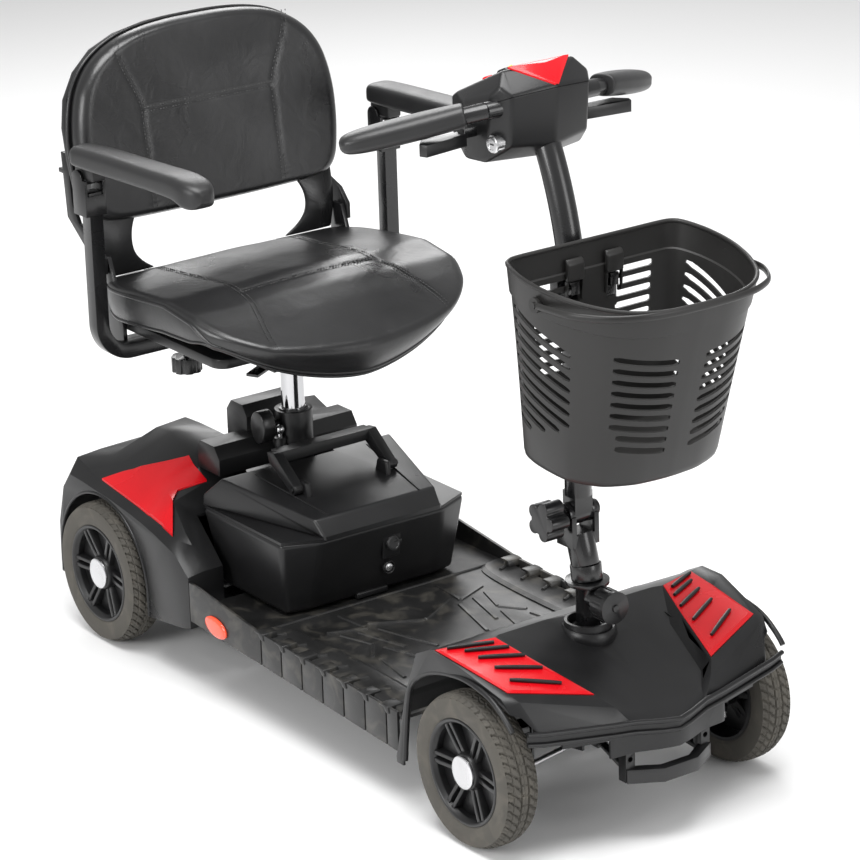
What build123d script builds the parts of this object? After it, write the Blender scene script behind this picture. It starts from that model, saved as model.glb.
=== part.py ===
from build123d import *
import math
import os

# Four-wheel take-apart mobility scooter, millimetres.
# While modelling, x = 0 is the rear axle, y = 0 the middle and z = 0 the floor: +X is forward, +Y is the
# rider's left and +Z is up. Every part is shifted by ORIGIN_X when it is written, so that the finished
# object's origin lies on the floor under the middle of its bounding box.

# ---------------------------------------------------------------- driving dimensions
ORIGIN_X = 472.0
WHEEL_RADIUS = 100.0
TYRE_WIDTH = 48.0
RIM_RADIUS = 69.0
TRACK_HALF = 201.0
WHEELBASE = 856.0
AXLE_RADIUS = 8.0
RUNNING_GAP = 0.05
SPOKE_PAIRS = 6

KINGPIN_Y = 155.0
STEER_ARM = 40.0
STEM_X = 824.0
STEM_RADIUS = 15.0
FOLD_X = 806.0
FOLD_Z = 373.0
TUBE_RADIUS = 17.0
TUBE_BEND_Z = 620.0
TUBE_BEND_RADIUS = 500.0

WALL = 3.0
BODY_HALF_WIDTH = 216.0
DECK_TOP = 121.0
DECK_REAR_X = 234.0
DECK_STEP_X = 365.0
DECK_FRONT_X = 704.0
DECK_GROOVES = 7
GROOVE_PITCH = 47.5
FIRST_GROOVE_X = 395.0

POST_X = 173.0
POST_RADIUS = 16.0
SOCKET_TOP = 342.0
POST_TOP = 428.0
SEAT_HALF_WIDTH = 212.0
BACK_HINGE_X = 20.0
BACK_HINGE_Z = 548.0
BACK_TILT = 8.0
ARM_X = 73.0
ARM_Y = 239.0
ARM_RUN_Z = 442.0
ARM_TUBE = 20.0
ARM_BEND_RADIUS = 45.0
PAD_PIVOT_X = 64.0
PAD_PIVOT_Z = 690.0

BATTERY_HALF_WIDTH = 150.0
BATTERY_FLOOR = 123.0
LID_SEAM_Z = 231.0
HANDLE_PIVOT_X = 290.0
HANDLE_PIVOT_Z = 273.0
HANDLE_ARM_Y = 78.0

BASKET_WALL = 3.0
BASKET_RIM_Z = 734.0
BASKET_FLOOR_Z = 486.0
BASKET_SLOPE = 0.13
BASKET_HANDLE_X = 926.0
BASKET_HANDLE_Z = 703.0
HOOK_YS = (-30, 30)

os.makedirs("parts", exist_ok=True)


# ---------------------------------------------------------------- shape helpers
def block(x0, x1, y0, y1, z0, z1):
    """Straight block between two opposite corners."""
    return Pos((x0 + x1) / 2, (y0 + y1) / 2, (z0 + z1) / 2) * Box(x1 - x0, y1 - y0, z1 - z0)


def bar(start, end, radius):
    """Round bar between two points."""
    start = Vector(*start)
    end = Vector(*end)
    direction = end - start
    middle = Plane(origin=(start + end) * 0.5, z_dir=direction)
    return middle * Cylinder(radius, direction.length)


def ring(start, end, radius, bore):
    """Round tube between two points."""
    return bar(start, end, radius) - bar(start, end, bore)


def side_prism(points, y0, y1):
    """Side-view outline of (x, z) points, drawn out across the width."""
    outline = Wire.make_polygon([(x, y0, z) for x, z in points], close=True)
    return extrude(Face(outline), amount=y1 - y0, dir=(0, 1, 0))


def plan_prism(points, z0, z1):
    """Top-view outline of (x, y) points, drawn upwards."""
    outline = Wire.make_polygon([(x, y, z0) for x, y in points], close=True)
    return extrude(Face(outline), amount=z1 - z0, dir=(0, 0, 1))


def front_prism(points, x0, x1):
    """Front-view outline of (y, z) points, drawn forwards."""
    outline = Wire.make_polygon([(x0, y, z) for y, z in points], close=True)
    return extrude(Face(outline), amount=x1 - x0, dir=(1, 0, 0))


def mirrored_plan(points):
    """Top-view outline made of its +Y half and the mirror image of that half."""
    return points + [(x, -y) for x, y in reversed(points)]


def trim(shape, points, centre, inset):
    """Cut the shape with the plane of three points and keep the side that holds the centre."""
    first, second, third = [Vector(*point) for point in points]
    normal = (second - first).cross(third - first).normalized()
    if normal.dot(Vector(*centre) - first) > 0:
        normal = normal * -1
    plane = Plane(origin=first - normal * inset, z_dir=normal)
    return split(shape, bisect_by=plane, keep=Keep.BOTTOM)


def faceted(limits, centre, facets, inset=0.0):
    """Block cut by planes, each given by three points on the +Y side and repeated on the -Y side."""
    x0, x1, half_width, z0, z1 = limits
    shape = block(x0 + inset, x1 - inset, -half_width + inset, half_width - inset, z0, z1 - inset)
    for facet in facets:
        shape = trim(shape, facet, centre, inset)
        shape = trim(shape, [(x, -y, z) for x, y, z in facet], centre, inset)
    return shape


def height_solid(rows, bottom):
    """Solid under a surface given as rows of (x, y, z) points, with upright sides and a level bottom."""
    faces = []
    for front, back in zip(rows[:-1], rows[1:]):
        for a, b, c, d in zip(front[:-1], front[1:], back[1:], back[:-1]):
            left_half = a[1] + b[1] > 0
            corners = (a, b, c, d) if left_half else (b, a, d, c)
            faces.append(Face(Wire.make_polygon([corners[0], corners[1], corners[2]], close=True)))
            faces.append(Face(Wire.make_polygon([corners[0], corners[2], corners[3]], close=True)))
    right = [row[-1] for row in rows[1:-1]]
    left = [row[0] for row in reversed(rows[1:-1])]
    edge = rows[0] + right + list(reversed(rows[-1])) + left
    for start, end in zip(edge, edge[1:] + edge[:1]):
        foot = [(end[0], end[1], bottom), (start[0], start[1], bottom)]
        faces.append(Face(Wire.make_polygon([start, end] + foot, close=True)))
    faces.append(Face(Wire.make_polygon([(x, y, bottom) for x, y, _ in edge], close=True)))
    solid = Solid(Shell(faces))
    return solid if solid.volume > 0 else Solid(solid.wrapped.Reversed())


def inset_rows(rows, centre_x, half_length, half_width, inset):
    """Rows of a half surface, mirrored to full width and moved inwards by the inset on every side."""
    along = 1 - inset / half_length
    across = 1 - inset / half_width
    moved = []
    for row in rows:
        half = [(centre_x + (x - centre_x) * along, y * across, z - inset) for x, y, z in row]
        moved.append(half + [(x, -y, z) for x, y, z in reversed(half[:-1])])
    return moved


def both_sides(shape):
    """A +Y solid and its mirror image as two separate solids."""
    return [shape, mirror(shape, about=Plane.XZ)]


def group(*shapes):
    """Separate solids that are kept in one node."""
    solids = []
    for shape in shapes:
        items = shape if isinstance(shape, list) else [shape]
        for item in items:
            solids.extend(item.solids())
    return Compound(children=solids)


def write(name, shape):
    """Shift a finished part to the object's origin and write its file."""
    export_step(Pos(-ORIGIN_X, 0, 0) * shape, "parts/" + name + ".step")


# ---------------------------------------------------------------- wheels
def tyre(x, y):
    """Solid tyre as a ring with rounded shoulders."""
    half = TYRE_WIDTH / 2
    section = [
        (half - 3, RIM_RADIUS),
        (half, RIM_RADIUS + 12),
        (half - 1, WHEEL_RADIUS - 10),
        (half - 8, WHEEL_RADIUS - 2),
        (5, WHEEL_RADIUS),
    ]
    points = section + [(-across, radius) for across, radius in reversed(section)]
    outline = Wire.make_polygon([(0, across, radius) for across, radius in points], close=True)
    turned = revolve(Face(outline), axis=Axis.Y, revolution_arc=360)
    return Pos(x, y, WHEEL_RADIUS) * turned


def rim(x, side, driven):
    """Wheel centre with paired spokes, its hub cap, and the bearings or the half shaft in its bore."""
    out = TRACK_HALF * side
    face = side * 19.0
    bore = AXLE_RADIUS if driven else 14.0
    barrel = ring((0, -22, 0), (0, 22, 0), RIM_RADIUS, RIM_RADIUS - 5)
    hub = bar((0, -18, 0), (0, 18, 0), 25)
    web = ring((0, face - side * 9, 0), (0, face - side * 14, 0), RIM_RADIUS - 5, 24)
    centre = barrel + hub + web
    for index in range(SPOKE_PAIRS * 2):
        pair_angle = (index // 2) * 360 / SPOKE_PAIRS
        angle = pair_angle + (9 if index % 2 else -9)
        spoke = block(22, RIM_RADIUS - 4, min(0, face), max(0, face), -3, 3)
        centre += Rot(0, angle, 0) * spoke
    centre -= bar((0, -30, 0), (0, 30, 0), bore)
    cap = bar((0, side * 18, 0), (0, side * 22.5, 0), 21.5)
    if driven:
        inner_end = side * (62 - TRACK_HALF)
        extra = bar((0, inner_end, 0), (0, side * 18, 0), AXLE_RADIUS)
    else:
        cage = ring((0, -18, 0), (0, -9, 0), 14, AXLE_RADIUS + RUNNING_GAP)
        extra = group(cage, Pos(0, 27, 0) * cage)
    return Pos(x, out, WHEEL_RADIUS) * group(centre, cap, extra)


for axle_name, axle_x, is_driven in (("rear", 0.0, True), ("front", WHEELBASE, False)):
    for side_name, side_sign in (("left", 1), ("right", -1)):
        write(f"{axle_name}_{side_name}_tyre", tyre(axle_x, TRACK_HALF * side_sign))
        write(f"{axle_name}_{side_name}_rim", rim(axle_x, side_sign, is_driven))


# ---------------------------------------------------------------- front frame and steering
PITMAN_Z = 92.0
ROD_RADIUS = 4.0
YOKE_HEIGHTS = ((60.0, 68.0), (132.0, 140.0))


def front_frame():
    """Welded front frame: rails, cross members, head tube with bearings, axle beam and yokes."""
    pieces = []
    for y in (-110, 110):
        pieces.append(block(230, 715, y - 15, y + 15, 84, 104))
    for x in (235, 480, 700):
        pieces.append(block(x, x + 20, -95, 95, 84, 104))
    pieces.append(block(720, 800, -20, 20, 84, 110))
    head_tube = ring((STEM_X, 0, 112), (STEM_X, 0, 226), 22, 17.5)
    pieces.append(head_tube)
    web = side_prism([(720, 110), (800, 110), (800, 170)], -4, 4)
    pieces.append(web)
    beam = block(846, 866, -122, 122, 112, 132) - bar((STEM_X, 0, 100), (STEM_X, 0, 240), 22)
    pieces.append(beam)
    pieces.append(block(866, 908, -56, 56, 116, 122))
    for side in (1, -1):
        inner = KINGPIN_Y - 33
        outer = KINGPIN_Y - 27
        pieces.append(block(843, 869, min(side * inner, side * outer), max(side * inner, side * outer), 60, 140))
        for low, high in YOKE_HEIGHTS:
            plate = block(843, 869, outer, KINGPIN_Y + 12, low, high)
            plate -= bar((WHEELBASE, KINGPIN_Y, low), (WHEELBASE, KINGPIN_Y, high), 7)
            pieces.append(plate if side > 0 else mirror(plate, about=Plane.XZ))
        pieces.append(bar((WHEELBASE, side * KINGPIN_Y, 60), (WHEELBASE, side * KINGPIN_Y, 140), 7))
    for low in (113, 214):
        pieces.append(ring((STEM_X, 0, low), (STEM_X, 0, low + 10), 17.5, STEM_RADIUS + RUNNING_GAP))
    return group(*pieces)


def knuckle(side):
    """Steering knuckle: kingpin sleeve, stub axle, steering arm and tie-rod pin."""
    y = KINGPIN_Y * side
    sleeve = bar((WHEELBASE, y, 69), (WHEELBASE, y, 131), 13)
    stub_end = side * (TRACK_HALF + 15)
    sleeve += bar((WHEELBASE, y, WHEEL_RADIUS), (WHEELBASE, stub_end, WHEEL_RADIUS), AXLE_RADIUS)
    arm = block(WHEELBASE, WHEELBASE + STEER_ARM, y - 8, y + 8, PITMAN_Z, PITMAN_Z + 6)
    arm += bar((WHEELBASE + STEER_ARM, y, PITMAN_Z), (WHEELBASE + STEER_ARM, y, PITMAN_Z + 6), 8)
    pin_low = PITMAN_Z - 9 if side > 0 else PITMAN_Z
    pin = bar((WHEELBASE + STEER_ARM, y, pin_low), (WHEELBASE + STEER_ARM, y, pin_low + 15), ROD_RADIUS)
    whole = sleeve + arm + pin
    return whole - bar((WHEELBASE, y, 60), (WHEELBASE, y, 140), 7 + RUNNING_GAP)


def tie_rod(side):
    """Tie rod with an eye at each end; the left one runs under the pitman arm, the right one over it."""
    low = PITMAN_Z - 8.5 if side > 0 else PITMAN_Z + 6.5
    high = low + 8
    inner = (STEM_X + STEER_ARM, 0.0)
    outer = (WHEELBASE + STEER_ARM, side * KINGPIN_Y)
    middle = (low + high) / 2
    rod = bar((*inner, middle), (*outer, middle), 3.8)
    for x, y in (inner, outer):
        rod += bar((x, y, low), (x, y, high), 8)
    for x, y in (inner, outer):
        rod -= bar((x, y, low - 1), (x, y, high + 1), ROD_RADIUS + RUNNING_GAP)
    return rod


def steering_stem():
    """Stem with pitman arm below, flange and socket above, and the clevis for the folding tiller."""
    stem = bar((STEM_X, 0, 80), (STEM_X, 0, 286), STEM_RADIUS)
    arm = block(STEM_X, STEM_X + STEER_ARM, -9, 9, PITMAN_Z, PITMAN_Z + 6)
    arm += bar((STEM_X + STEER_ARM, 0, PITMAN_Z), (STEM_X + STEER_ARM, 0, PITMAN_Z + 6), 9)
    arm += bar((STEM_X + STEER_ARM, 0, PITMAN_Z - 9), (STEM_X + STEER_ARM, 0, PITMAN_Z + 15), ROD_RADIUS)
    flange = bar((STEM_X, 0, 284), (STEM_X, 0, 289), 28)
    bellows = bar((STEM_X, 0, 289), (STEM_X - 3, 0, 308), 20)
    socket = bar((STEM_X - 3, 0, 307), (FOLD_X + 3, 0, 346), 18)
    lugs = None
    for side in (1, -1):
        lug = block(FOLD_X - 15, FOLD_X + 17, 14, 21, 336, FOLD_Z)
        lug += bar((FOLD_X, 14, FOLD_Z), (FOLD_X, 21, FOLD_Z), 15)
        lug -= bar((FOLD_X, 0, FOLD_Z), (FOLD_X, 30, FOLD_Z), 6)
        lug = lug if side > 0 else mirror(lug, about=Plane.XZ)
        lugs = lug if lugs is None else lugs + lug
    boss = bar((STEM_X, 0, 266), (STEM_X + 26, 0, 266), 12)
    boss -= bar((STEM_X + 16, 0, 266), (STEM_X + 30, 0, 266), 5.05)
    socket_base = block(FOLD_X - 15, FOLD_X + 17, -21, 21, 332, 348)
    body = stem + arm + flange + bellows + socket + socket_base + lugs + boss
    return body - bar((STEM_X + 16, 0, 266), (STEM_X + 30, 0, 266), 5.05)


def stem_lock_knob():
    """Ribbed round knob on the front of the stem, with its screw and pointer plate."""
    shaft = bar((STEM_X + 16.5, 0, 266), (STEM_X + 32, 0, 266), 5)
    grip = bar((STEM_X + 30, 0, 266), (STEM_X + 56, 0, 266), 21)
    for index in range(16):
        groove = block(STEM_X + 29, STEM_X + 50, -1.5, 1.5, 19.5, 24)
        grip -= Pos(0, 0, 266) * Rot(index * 22.5, 0, 0) * groove
    screw = bar((STEM_X + 56, 0, 266), (STEM_X + 59, 0, 266), 5)
    return shaft + grip + screw


write("front_frame", front_frame())
write("left_knuckle", knuckle(1))
write("right_knuckle", knuckle(-1))
write("left_tie_rod", tie_rod(1))
write("right_tie_rod", tie_rod(-1))
write("steering_stem", steering_stem())
write("stem_lock_knob", stem_lock_knob())


# ---------------------------------------------------------------- deck
def deck_cover():
    """Foot deck: floor plate with side skirts, vertical skirt grooves and a raised edge."""
    skirt_outline = [
        (222, 96), (395, 88), (DECK_FRONT_X, 72), (DECK_FRONT_X, 126), (399, 133), (240, 152), (222, 152),
    ]
    inner = BODY_HALF_WIDTH - 12
    skirt = side_prism(skirt_outline, inner + 4, BODY_HALF_WIDTH - 4)
    for index in range(DECK_GROOVES):
        x = FIRST_GROOVE_X + index * GROOVE_PITCH
        skirt -= block(x - 1.5, x + 1.5, BODY_HALF_WIDTH - 6, BODY_HALF_WIDTH, 60, 140)
    foot_floor = block(DECK_STEP_X, DECK_FRONT_X + 6, -inner - 4, inner + 4, DECK_TOP - 5, DECK_TOP)
    box_floor = block(DECK_REAR_X, DECK_STEP_X, -inner - 4, inner + 4, DECK_TOP - 5, DECK_TOP - 1)
    deck = foot_floor + box_floor + skirt + mirror(skirt, about=Plane.XZ)
    for x, y in ((320, 90), (470, 90), (620, 90)):
        deck += block(x - 30, x + 30, y - 2, y + 2, 104, DECK_TOP - 5)
        deck += block(x - 30, x + 30, -y - 2, -y + 2, 104, DECK_TOP - 5)
    return deck


def side_reflectors():
    """Oval reflectors on the rear ends of the deck skirts."""
    oval = Pos(288, BODY_HALF_WIDTH - 4, 108) * Rot(90, 0, 0) * extrude(Ellipse(25, 13), amount=3, both=True)
    lens = oval & block(200, 400, BODY_HALF_WIDTH - 4, BODY_HALF_WIDTH, 60, 160)
    return group(both_sides(lens))


write("deck_cover", deck_cover())
write("side_reflectors", side_reflectors())


# ---------------------------------------------------------------- front cowl
COWL_ROWS = [
    [(706, 216, 68), (706, 203, 68), (706, 134, 68), (706, 122, 68), (706, 50, 68), (706, 0, 68)],
    [(716, 216, 107), (716, 203, 107), (716, 134, 107), (716, 122, 107), (716, 50, 107), (716, 0, 107)],
    [(729, 216, 159), (729, 203, 159), (729, 134, 159), (729, 122, 159), (729, 50, 159), (729, 0, 159)],
    [(756, 216, 224), (756, 203, 222), (762, 136, 226), (760, 124, 226), (760, 50, 225), (760, 0, 225)],
    [(786, 216, 239), (777, 204, 232), (808, 132, 240), (800, 122, 238), (795, 50, 236), (795, 0, 235)],
    [(826, 216, 239), (826, 201, 227), (861, 117, 225), (854, 107, 209), (848, 50, 215), (848, 0, 213.5)],
    [(918, 206, 214), (916, 194, 217), (956, 90, 199), (946, 82, 181), (935, 50, 184), (935, 0, 183)],
    [(925, 204, 204), (930, 188, 209), (973, 75, 185), (968, 64, 172), (972, 40, 169), (975, 0, 168)],
    [(946, 201, 174), (957, 176, 172), (983, 84, 163), (985, 56, 160), (998, 22, 158), (1004, 0, 157)],
]


ARCH_OUTLINE = [
    (719, 40), (722, 80), (735, 166), (756, 192), (786, 208), (820, 217), (859, 220), (905, 212), (938, 192),
    (956, 172), (966, 157), (972, 140), (972, 40),
]


def cowl_shape(inset):
    """Outer form of the front cowl: two fenders and the lower hood between them."""
    return height_solid(inset_rows(COWL_ROWS, 850, 150, 216, inset), 60)


def front_cowl():
    """Thin front cowl with wheel arches, inner wheel-well walls, stem hole and steering collar."""
    outer = cowl_shape(0)
    shell = outer - cowl_shape(WALL)
    well_wall = block(728, 940, 112, 115, 134, 236) & cowl_shape(1)
    for wall in both_sides(well_wall):
        shell += wall
    arch = side_prism(ARCH_OUTLINE, 150, 240)
    for opening in both_sides(arch):
        shell -= opening
    for lip in both_sides(plan_prism([(920, 230), (925, 196), (974, 90), (1020, 90), (1020, 230)], 40, 148)):
        shell -= lip
    shell -= block(900, 1010, -300, 300, 40, 124)
    shell -= block(700, 780, -205, 205, 40, DECK_TOP + 2)
    shell -= block(716, 900, -205, 205, 40, 133)
    shell -= bar((STEM_X, 0, 150), (STEM_X, 0, 260), 26)
    collar = ring((STEM_X, 0, 212), (STEM_X, 0, 235), 30, 26)
    return shell + collar


PANEL_OUTLINE = [(778, 203), (809, 133), (954, 91), (914, 193)]


def panel_outline_prism():
    """Top-view area of one fender's coloured panel."""
    return plan_prism(PANEL_OUTLINE, 150, 260)


def rib_prisms():
    """Upright slots through a fender panel, one for each raised rib of the cowl."""
    prisms = []
    for index in range(5):
        share = (index + 0.7) / 5.4
        near = Vector(778, 200, 0) * (1 - share) + Vector(912, 190, 0) * share
        far = Vector(808, 134, 0) * (1 - share) + Vector(952, 92, 0) * share
        middle = (near + far) * 0.5
        across = far - near
        angle = math.degrees(math.atan2(across.Y, across.X))
        length = across.length - 24
        prisms.append(Pos(middle.X, middle.Y, 205) * Rot(0, 0, angle) * Box(length, 7, 110))
    return prisms


def fender_panel():
    """Coloured panel that lies on the fender, with a slot round each rib."""
    outer = cowl_shape(-2.0)
    panel = (outer - cowl_shape(0)) & panel_outline_prism()
    for rib in rib_prisms():
        panel -= rib
    return panel


def cowl_ribs():
    """Raised ribs that stand on one fender inside the panel's slots."""
    layer = cowl_shape(-4.5) - cowl_shape(0)
    return [layer & rib for rib in rib_prisms()]


# ---------------------------------------------------------------- rear shell
REAR_ROWS = [
    [(-118, 212, 95), (-118, 199, 95), (-118, 165, 95), (-118, 110, 95), (-118, 60, 95), (-118, 57, 95), (-118, 0, 95)],
    [(-116, 212, 142), (-116, 200, 142), (-116, 165, 142), (-116, 110, 142), (-116, 60, 142), (-116, 57, 142),
     (-116, 0, 142)],
    [(-100, 212, 198), (-100, 200, 203), (-100, 165, 205), (-100, 110, 205), (-100, 60, 205), (-100, 57, 204),
     (-100, 0, 204)],
    [(-80, 212, 222), (-76, 200, 246), (-72, 165, 251), (-62, 110, 257), (-62, 60, 257), (-72, 57, 222),
     (-72, 0, 222)],
    [(-50, 212, 221), (-45, 200, 236), (-40, 165, 250), (-40, 110, 262), (-40, 60, 266), (-40, 57, 222),
     (-40, 0, 222)],
    [(-16, 212, 218), (-14, 200, 228), (-12, 165, 246), (-12, 108, 286), (-12, 60, 290), (-12, 57, 222),
     (-12, 0, 222)],
    [(26, 212, 215), (26, 200, 222), (26, 165, 244), (26, 108, 289), (26, 60, 292), (26, 57, 222), (26, 0, 222)],
    [(80, 212, 208), (80, 200, 214), (80, 165, 240), (80, 108, 272), (80, 60, 292), (80, 57, 222), (80, 0, 222)],
    [(104, 212, 204), (104, 200, 209), (104, 165, 238), (104, 108, 264), (104, 60, 290), (104, 57, 222),
     (104, 0, 222)],
    [(137, 212, 197), (137, 200, 203), (137, 178, 235), (137, 121, 251), (137, 60, 256), (137, 57, 222),
     (137, 0, 222)],
    [(166, 212, 189), (166, 200, 195), (176, 185, 203), (166, 121, 216), (166, 60, 216), (166, 57, 216),
     (166, 0, 216)],
    [(192, 212, 181), (192, 200, 186), (192, 185, 190), (192, 121, 190), (192, 60, 190), (192, 57, 190),
     (192, 0, 190)],
    [(221, 212, 158), (221, 200, 160), (221, 185, 162), (221, 121, 162), (221, 60, 162), (221, 57, 162),
     (221, 0, 162)],
]


def rear_shape(inset):
    """Outer form of the rear shell, with two raised blocks over the drive unit."""
    return height_solid(inset_rows(REAR_ROWS, 50, 168, 212, inset), 50)


def rear_shell():
    """Thin rear shell with wheel wells and the bay that takes the battery box."""
    outer = rear_shape(0)
    shell = outer - rear_shape(WALL)
    shell -= block(-130, 240, -300, 300, 40, 66)
    shell -= side_prism([(112, 50), (112, 68), (195, 78), (240, 88), (240, 50)], -300, 300)
    for side in (1, -1):
        lining = bar((0, side * 163, WHEEL_RADIUS), (0, side * 211, WHEEL_RADIUS), 115) & rear_shape(1)
        shell += lining
        shell -= bar((0, side * 166, WHEEL_RADIUS), (0, side * 240, WHEEL_RADIUS), 112)
        low_opening = block(-112, 112, min(side * 166, side * 240), max(side * 166, side * 240), 40, 100)
        shell -= low_opening
        shell -= bar((0, side * 150, WHEEL_RADIUS), (0, side * 180, WHEEL_RADIUS), 20)
    shell -= block(161, 240, -156, 156, 40, 300)
    bay_side = block(158, 218, 156, 159, 90, 300) & rear_shape(1)
    for wall in both_sides(bay_side):
        shell += wall
    shell += block(158, 161, -156, 156, 110, 300) & rear_shape(1)
    shell -= block(104.5, 158.5, -115, 115, 261.5, 330)
    shell -= block(104.5, 240, -42, 42, 40, 330)
    return shell


REAR_PANEL_OUTLINE = [
    (-14, 199), (6, 176), (22, 163), (80, 114), (94, 117), (136, 122), (118, 158), (134, 176), (164, 198),
]


def rear_panel():
    """Coloured panel on the shoulder of the rear shell."""
    layer = rear_shape(-2.0) - rear_shape(0)
    return layer & plan_prism(REAR_PANEL_OUTLINE, 170, 300)


write("front_cowl", front_cowl())
write("cowl_ribs", group(*[both_sides(rib) for rib in cowl_ribs()]))
write("rear_shell", rear_shell())
write("red_panels", group(both_sides(fender_panel()), both_sides(rear_panel())))


# ---------------------------------------------------------------- bumper
def nose_bumper():
    """Bumper loop under the nose: front bar, two feet with holes and two stays to the frame."""
    outline = mirrored_plan([(983, 66), (1007, 26)])
    inner = mirrored_plan([(970, 60), (994, 22)])
    front = plan_prism(outline + list(reversed(inner)), 84, 102)
    foot = side_prism([(966, 84), (980, 84), (981, 121), (979, 138), (966, 138)], 52, 66)
    foot -= bar((950, 59, 114), (1000, 59, 114), 3.5)
    stay = bar((975, 57, 95), (904, 46, 109), 5)
    stay += block(896, 910, 38, 54, 103, 115.5)
    return front + foot + mirror(foot, about=Plane.XZ) + stay + mirror(stay, about=Plane.XZ)


write("nose_bumper", nose_bumper())


# ---------------------------------------------------------------- rear frame, drive and post socket
def rear_frame():
    """Welded rear frame with the seat-post socket and the hooks that hold the front frame."""
    pieces = []
    for y in (-137, 137):
        rail = block(-95, 224, y - 12, y + 12, 70, 104)
        pieces.append(rail - bar((0, y - 20, WHEEL_RADIUS), (0, y + 20, WHEEL_RADIUS), 15.3))
    pieces.append(block(-95, -75, -125, 125, 84, 104))
    socket_hole = bar((POST_X, 0, 60), (POST_X, 0, 400), POST_RADIUS + 0.08)
    pieces.append(block(148, 198, -125, 125, 84, 104) - socket_hole)
    socket = bar((POST_X, 0, 104), (POST_X, 0, SOCKET_TOP), 20) - socket_hole
    socket -= bar((POST_X, -10, 324), (POST_X, -30, 324), 5.1)
    pieces.append(socket)
    for y in (-70, 70):
        pieces.append(block(198, 229, y - 8, y + 8, 84, 104))
    return group(*pieces)


def drive_unit():
    """Transaxle with its axle tubes, and the motor beside it."""
    hole = bar((0, -170, WHEEL_RADIUS), (0, 170, WHEEL_RADIUS), AXLE_RADIUS + RUNNING_GAP)
    gearbox = block(-48, 60, -58, 8, 64, 160)
    gearbox += bar((0, -158, WHEEL_RADIUS), (0, 158, WHEEL_RADIUS), 15)
    for y in (-114, 114):
        gearbox += block(-20, 20, y - 8, y + 8, 82, 118)
    motor = bar((62, 9, 150), (62, 110, 150), 34)
    mount = block(30, 60, -50, 7, 160, 180)
    return group(gearbox + mount - hole, motor)


def freewheel_lever():
    """Lever that disengages the drive, on the transaxle's right side."""
    hub = ring((-20, -74, 140), (-20, -59, 140), 10, 5.05)
    handle = block(-78, -26, -74, -66, 136, 144)
    return hub + handle - bar((-20, -80, 140), (-20, -50, 140), 5.05)


def freewheel_pin():
    """Pivot pin of the drive release lever."""
    return bar((-20, -76, 140), (-20, -58, 140), 5)


def controller_box():
    """Motor controller in its sealed case, with cooling fins."""
    case = block(-70, 20, -100, 100, 190, 214)
    for index in range(8):
        y = -88 + index * 24
        case -= block(-66, 16, y, y + 8, 206, 215)
    return case


def post_tower():
    """Cover of the cross beam and seat-post socket, with the knob block and pin housing."""
    beam = side_prism([(105, 262), (158, 262), (158, 285), (146, 302), (112, 302), (105, 296)], -114, 114)
    tower = bar((POST_X, 0, 263), (POST_X, 0, SOCKET_TOP - 2), 26)
    foot = side_prism([(140, 264), (192, 264), (190, 300), (176, 318), (140, 318)], -23, 23)
    hump = side_prism([(72, 265), (72, 322), (84, 337), (112, 337), (122, 322), (122, 265)], -44, 44)
    housing = bar((186, -32, 285), (186, -32, 308), 8)
    whole = beam + foot + hump + housing + tower
    whole -= bar((POST_X, 0, 200), (POST_X, 0, 400), 20.02)
    whole -= bar((186, -32, 290), (186, -32, 330), 3.55)
    whole -= bar((POST_X, -15, 324), (POST_X, -40, 324), 5.6)
    return whole


def pull_pin():
    """Spring-loaded release pin with a ball grip."""
    shaft = bar((186, -32, 290.5), (186, -32, 318), 3.5)
    return shaft + Pos(186, -32, 319) * Sphere(6.8)


def post_lock_knob():
    """Oval hand knob that clamps the seat post."""
    shaft = bar((POST_X, -16.6, 324), (POST_X, -42, 324), 5)
    grip = Pos(POST_X, -50, 324) * Rot(90, 0, 0) * extrude(Ellipse(17, 23), amount=10, both=True)
    return shaft + grip


write("rear_frame", rear_frame())
write("drive_unit", group(drive_unit(), freewheel_pin()))
write("freewheel_lever", freewheel_lever())
write("controller_box", controller_box())
write("post_tower", post_tower())
write("pull_pin", pull_pin())
write("post_lock_knob", post_lock_knob())


# ---------------------------------------------------------------- battery box
CASE_BOTTOM = mirrored_plan([(187, 137), (344, 137), (351, 100)])
CASE_TOP = mirrored_plan([(168, 151), (357, 151), (381, 100)])
POST_NOTCH = (150, 206, 43)
LID_FACETS = [
    [(168, 150, 248), (200, 140, 277), (361, 99, 255)],
    [(168, 0, 248), (200, 0, 277), (200, 50, 277)],
    [(200, 0, 277), (361, 0, 255), (361, 50, 255)],
    [(361, 0, 256), (381, 0, 234), (381, 50, 234)],
    [(354, 150, 232), (381, 100, 232), (381, 100, 250)],
]


def plan_loft(bottom, bottom_z, top, top_z):
    """Straight-sided solid between two level outlines with the same number of corners."""
    low = Wire.make_polygon([(x, y, bottom_z) for x, y in bottom], close=True)
    high = Wire.make_polygon([(x, y, top_z) for x, y in top], close=True)
    return Solid.make_loft([low, high], ruled=True)


def post_notch():
    """Space in the back of the battery box for the seat-post tower."""
    x0, x1, half = POST_NOTCH
    return block(x0, x1, -half, half, 100, 300)


def battery_case():
    """Open-topped battery tray."""
    outer = plan_loft(CASE_BOTTOM, BATTERY_FLOOR, CASE_TOP, LID_SEAM_Z)
    low = [(x - 4 if x > 250 else x + 4, y - 4 if y > 0 else y + 4) for x, y in CASE_BOTTOM]
    high = [(x - 4 if x > 250 else x + 4, y - 4 if y > 0 else y + 4) for x, y in CASE_TOP]
    inner = plan_loft(low, BATTERY_FLOOR + 4, high, LID_SEAM_Z + 0.01)
    x0, x1, half = POST_NOTCH
    inner -= block(x0, x1 + 3, -half - 3, half + 3, 100, 300)
    tray = outer - inner - post_notch()
    tray -= bar((340, 17, 198), (400, 17, 198), 9.3)
    tray -= bar((340, 16, 160), (400, 16, 160), 7.1)
    return tray


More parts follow.
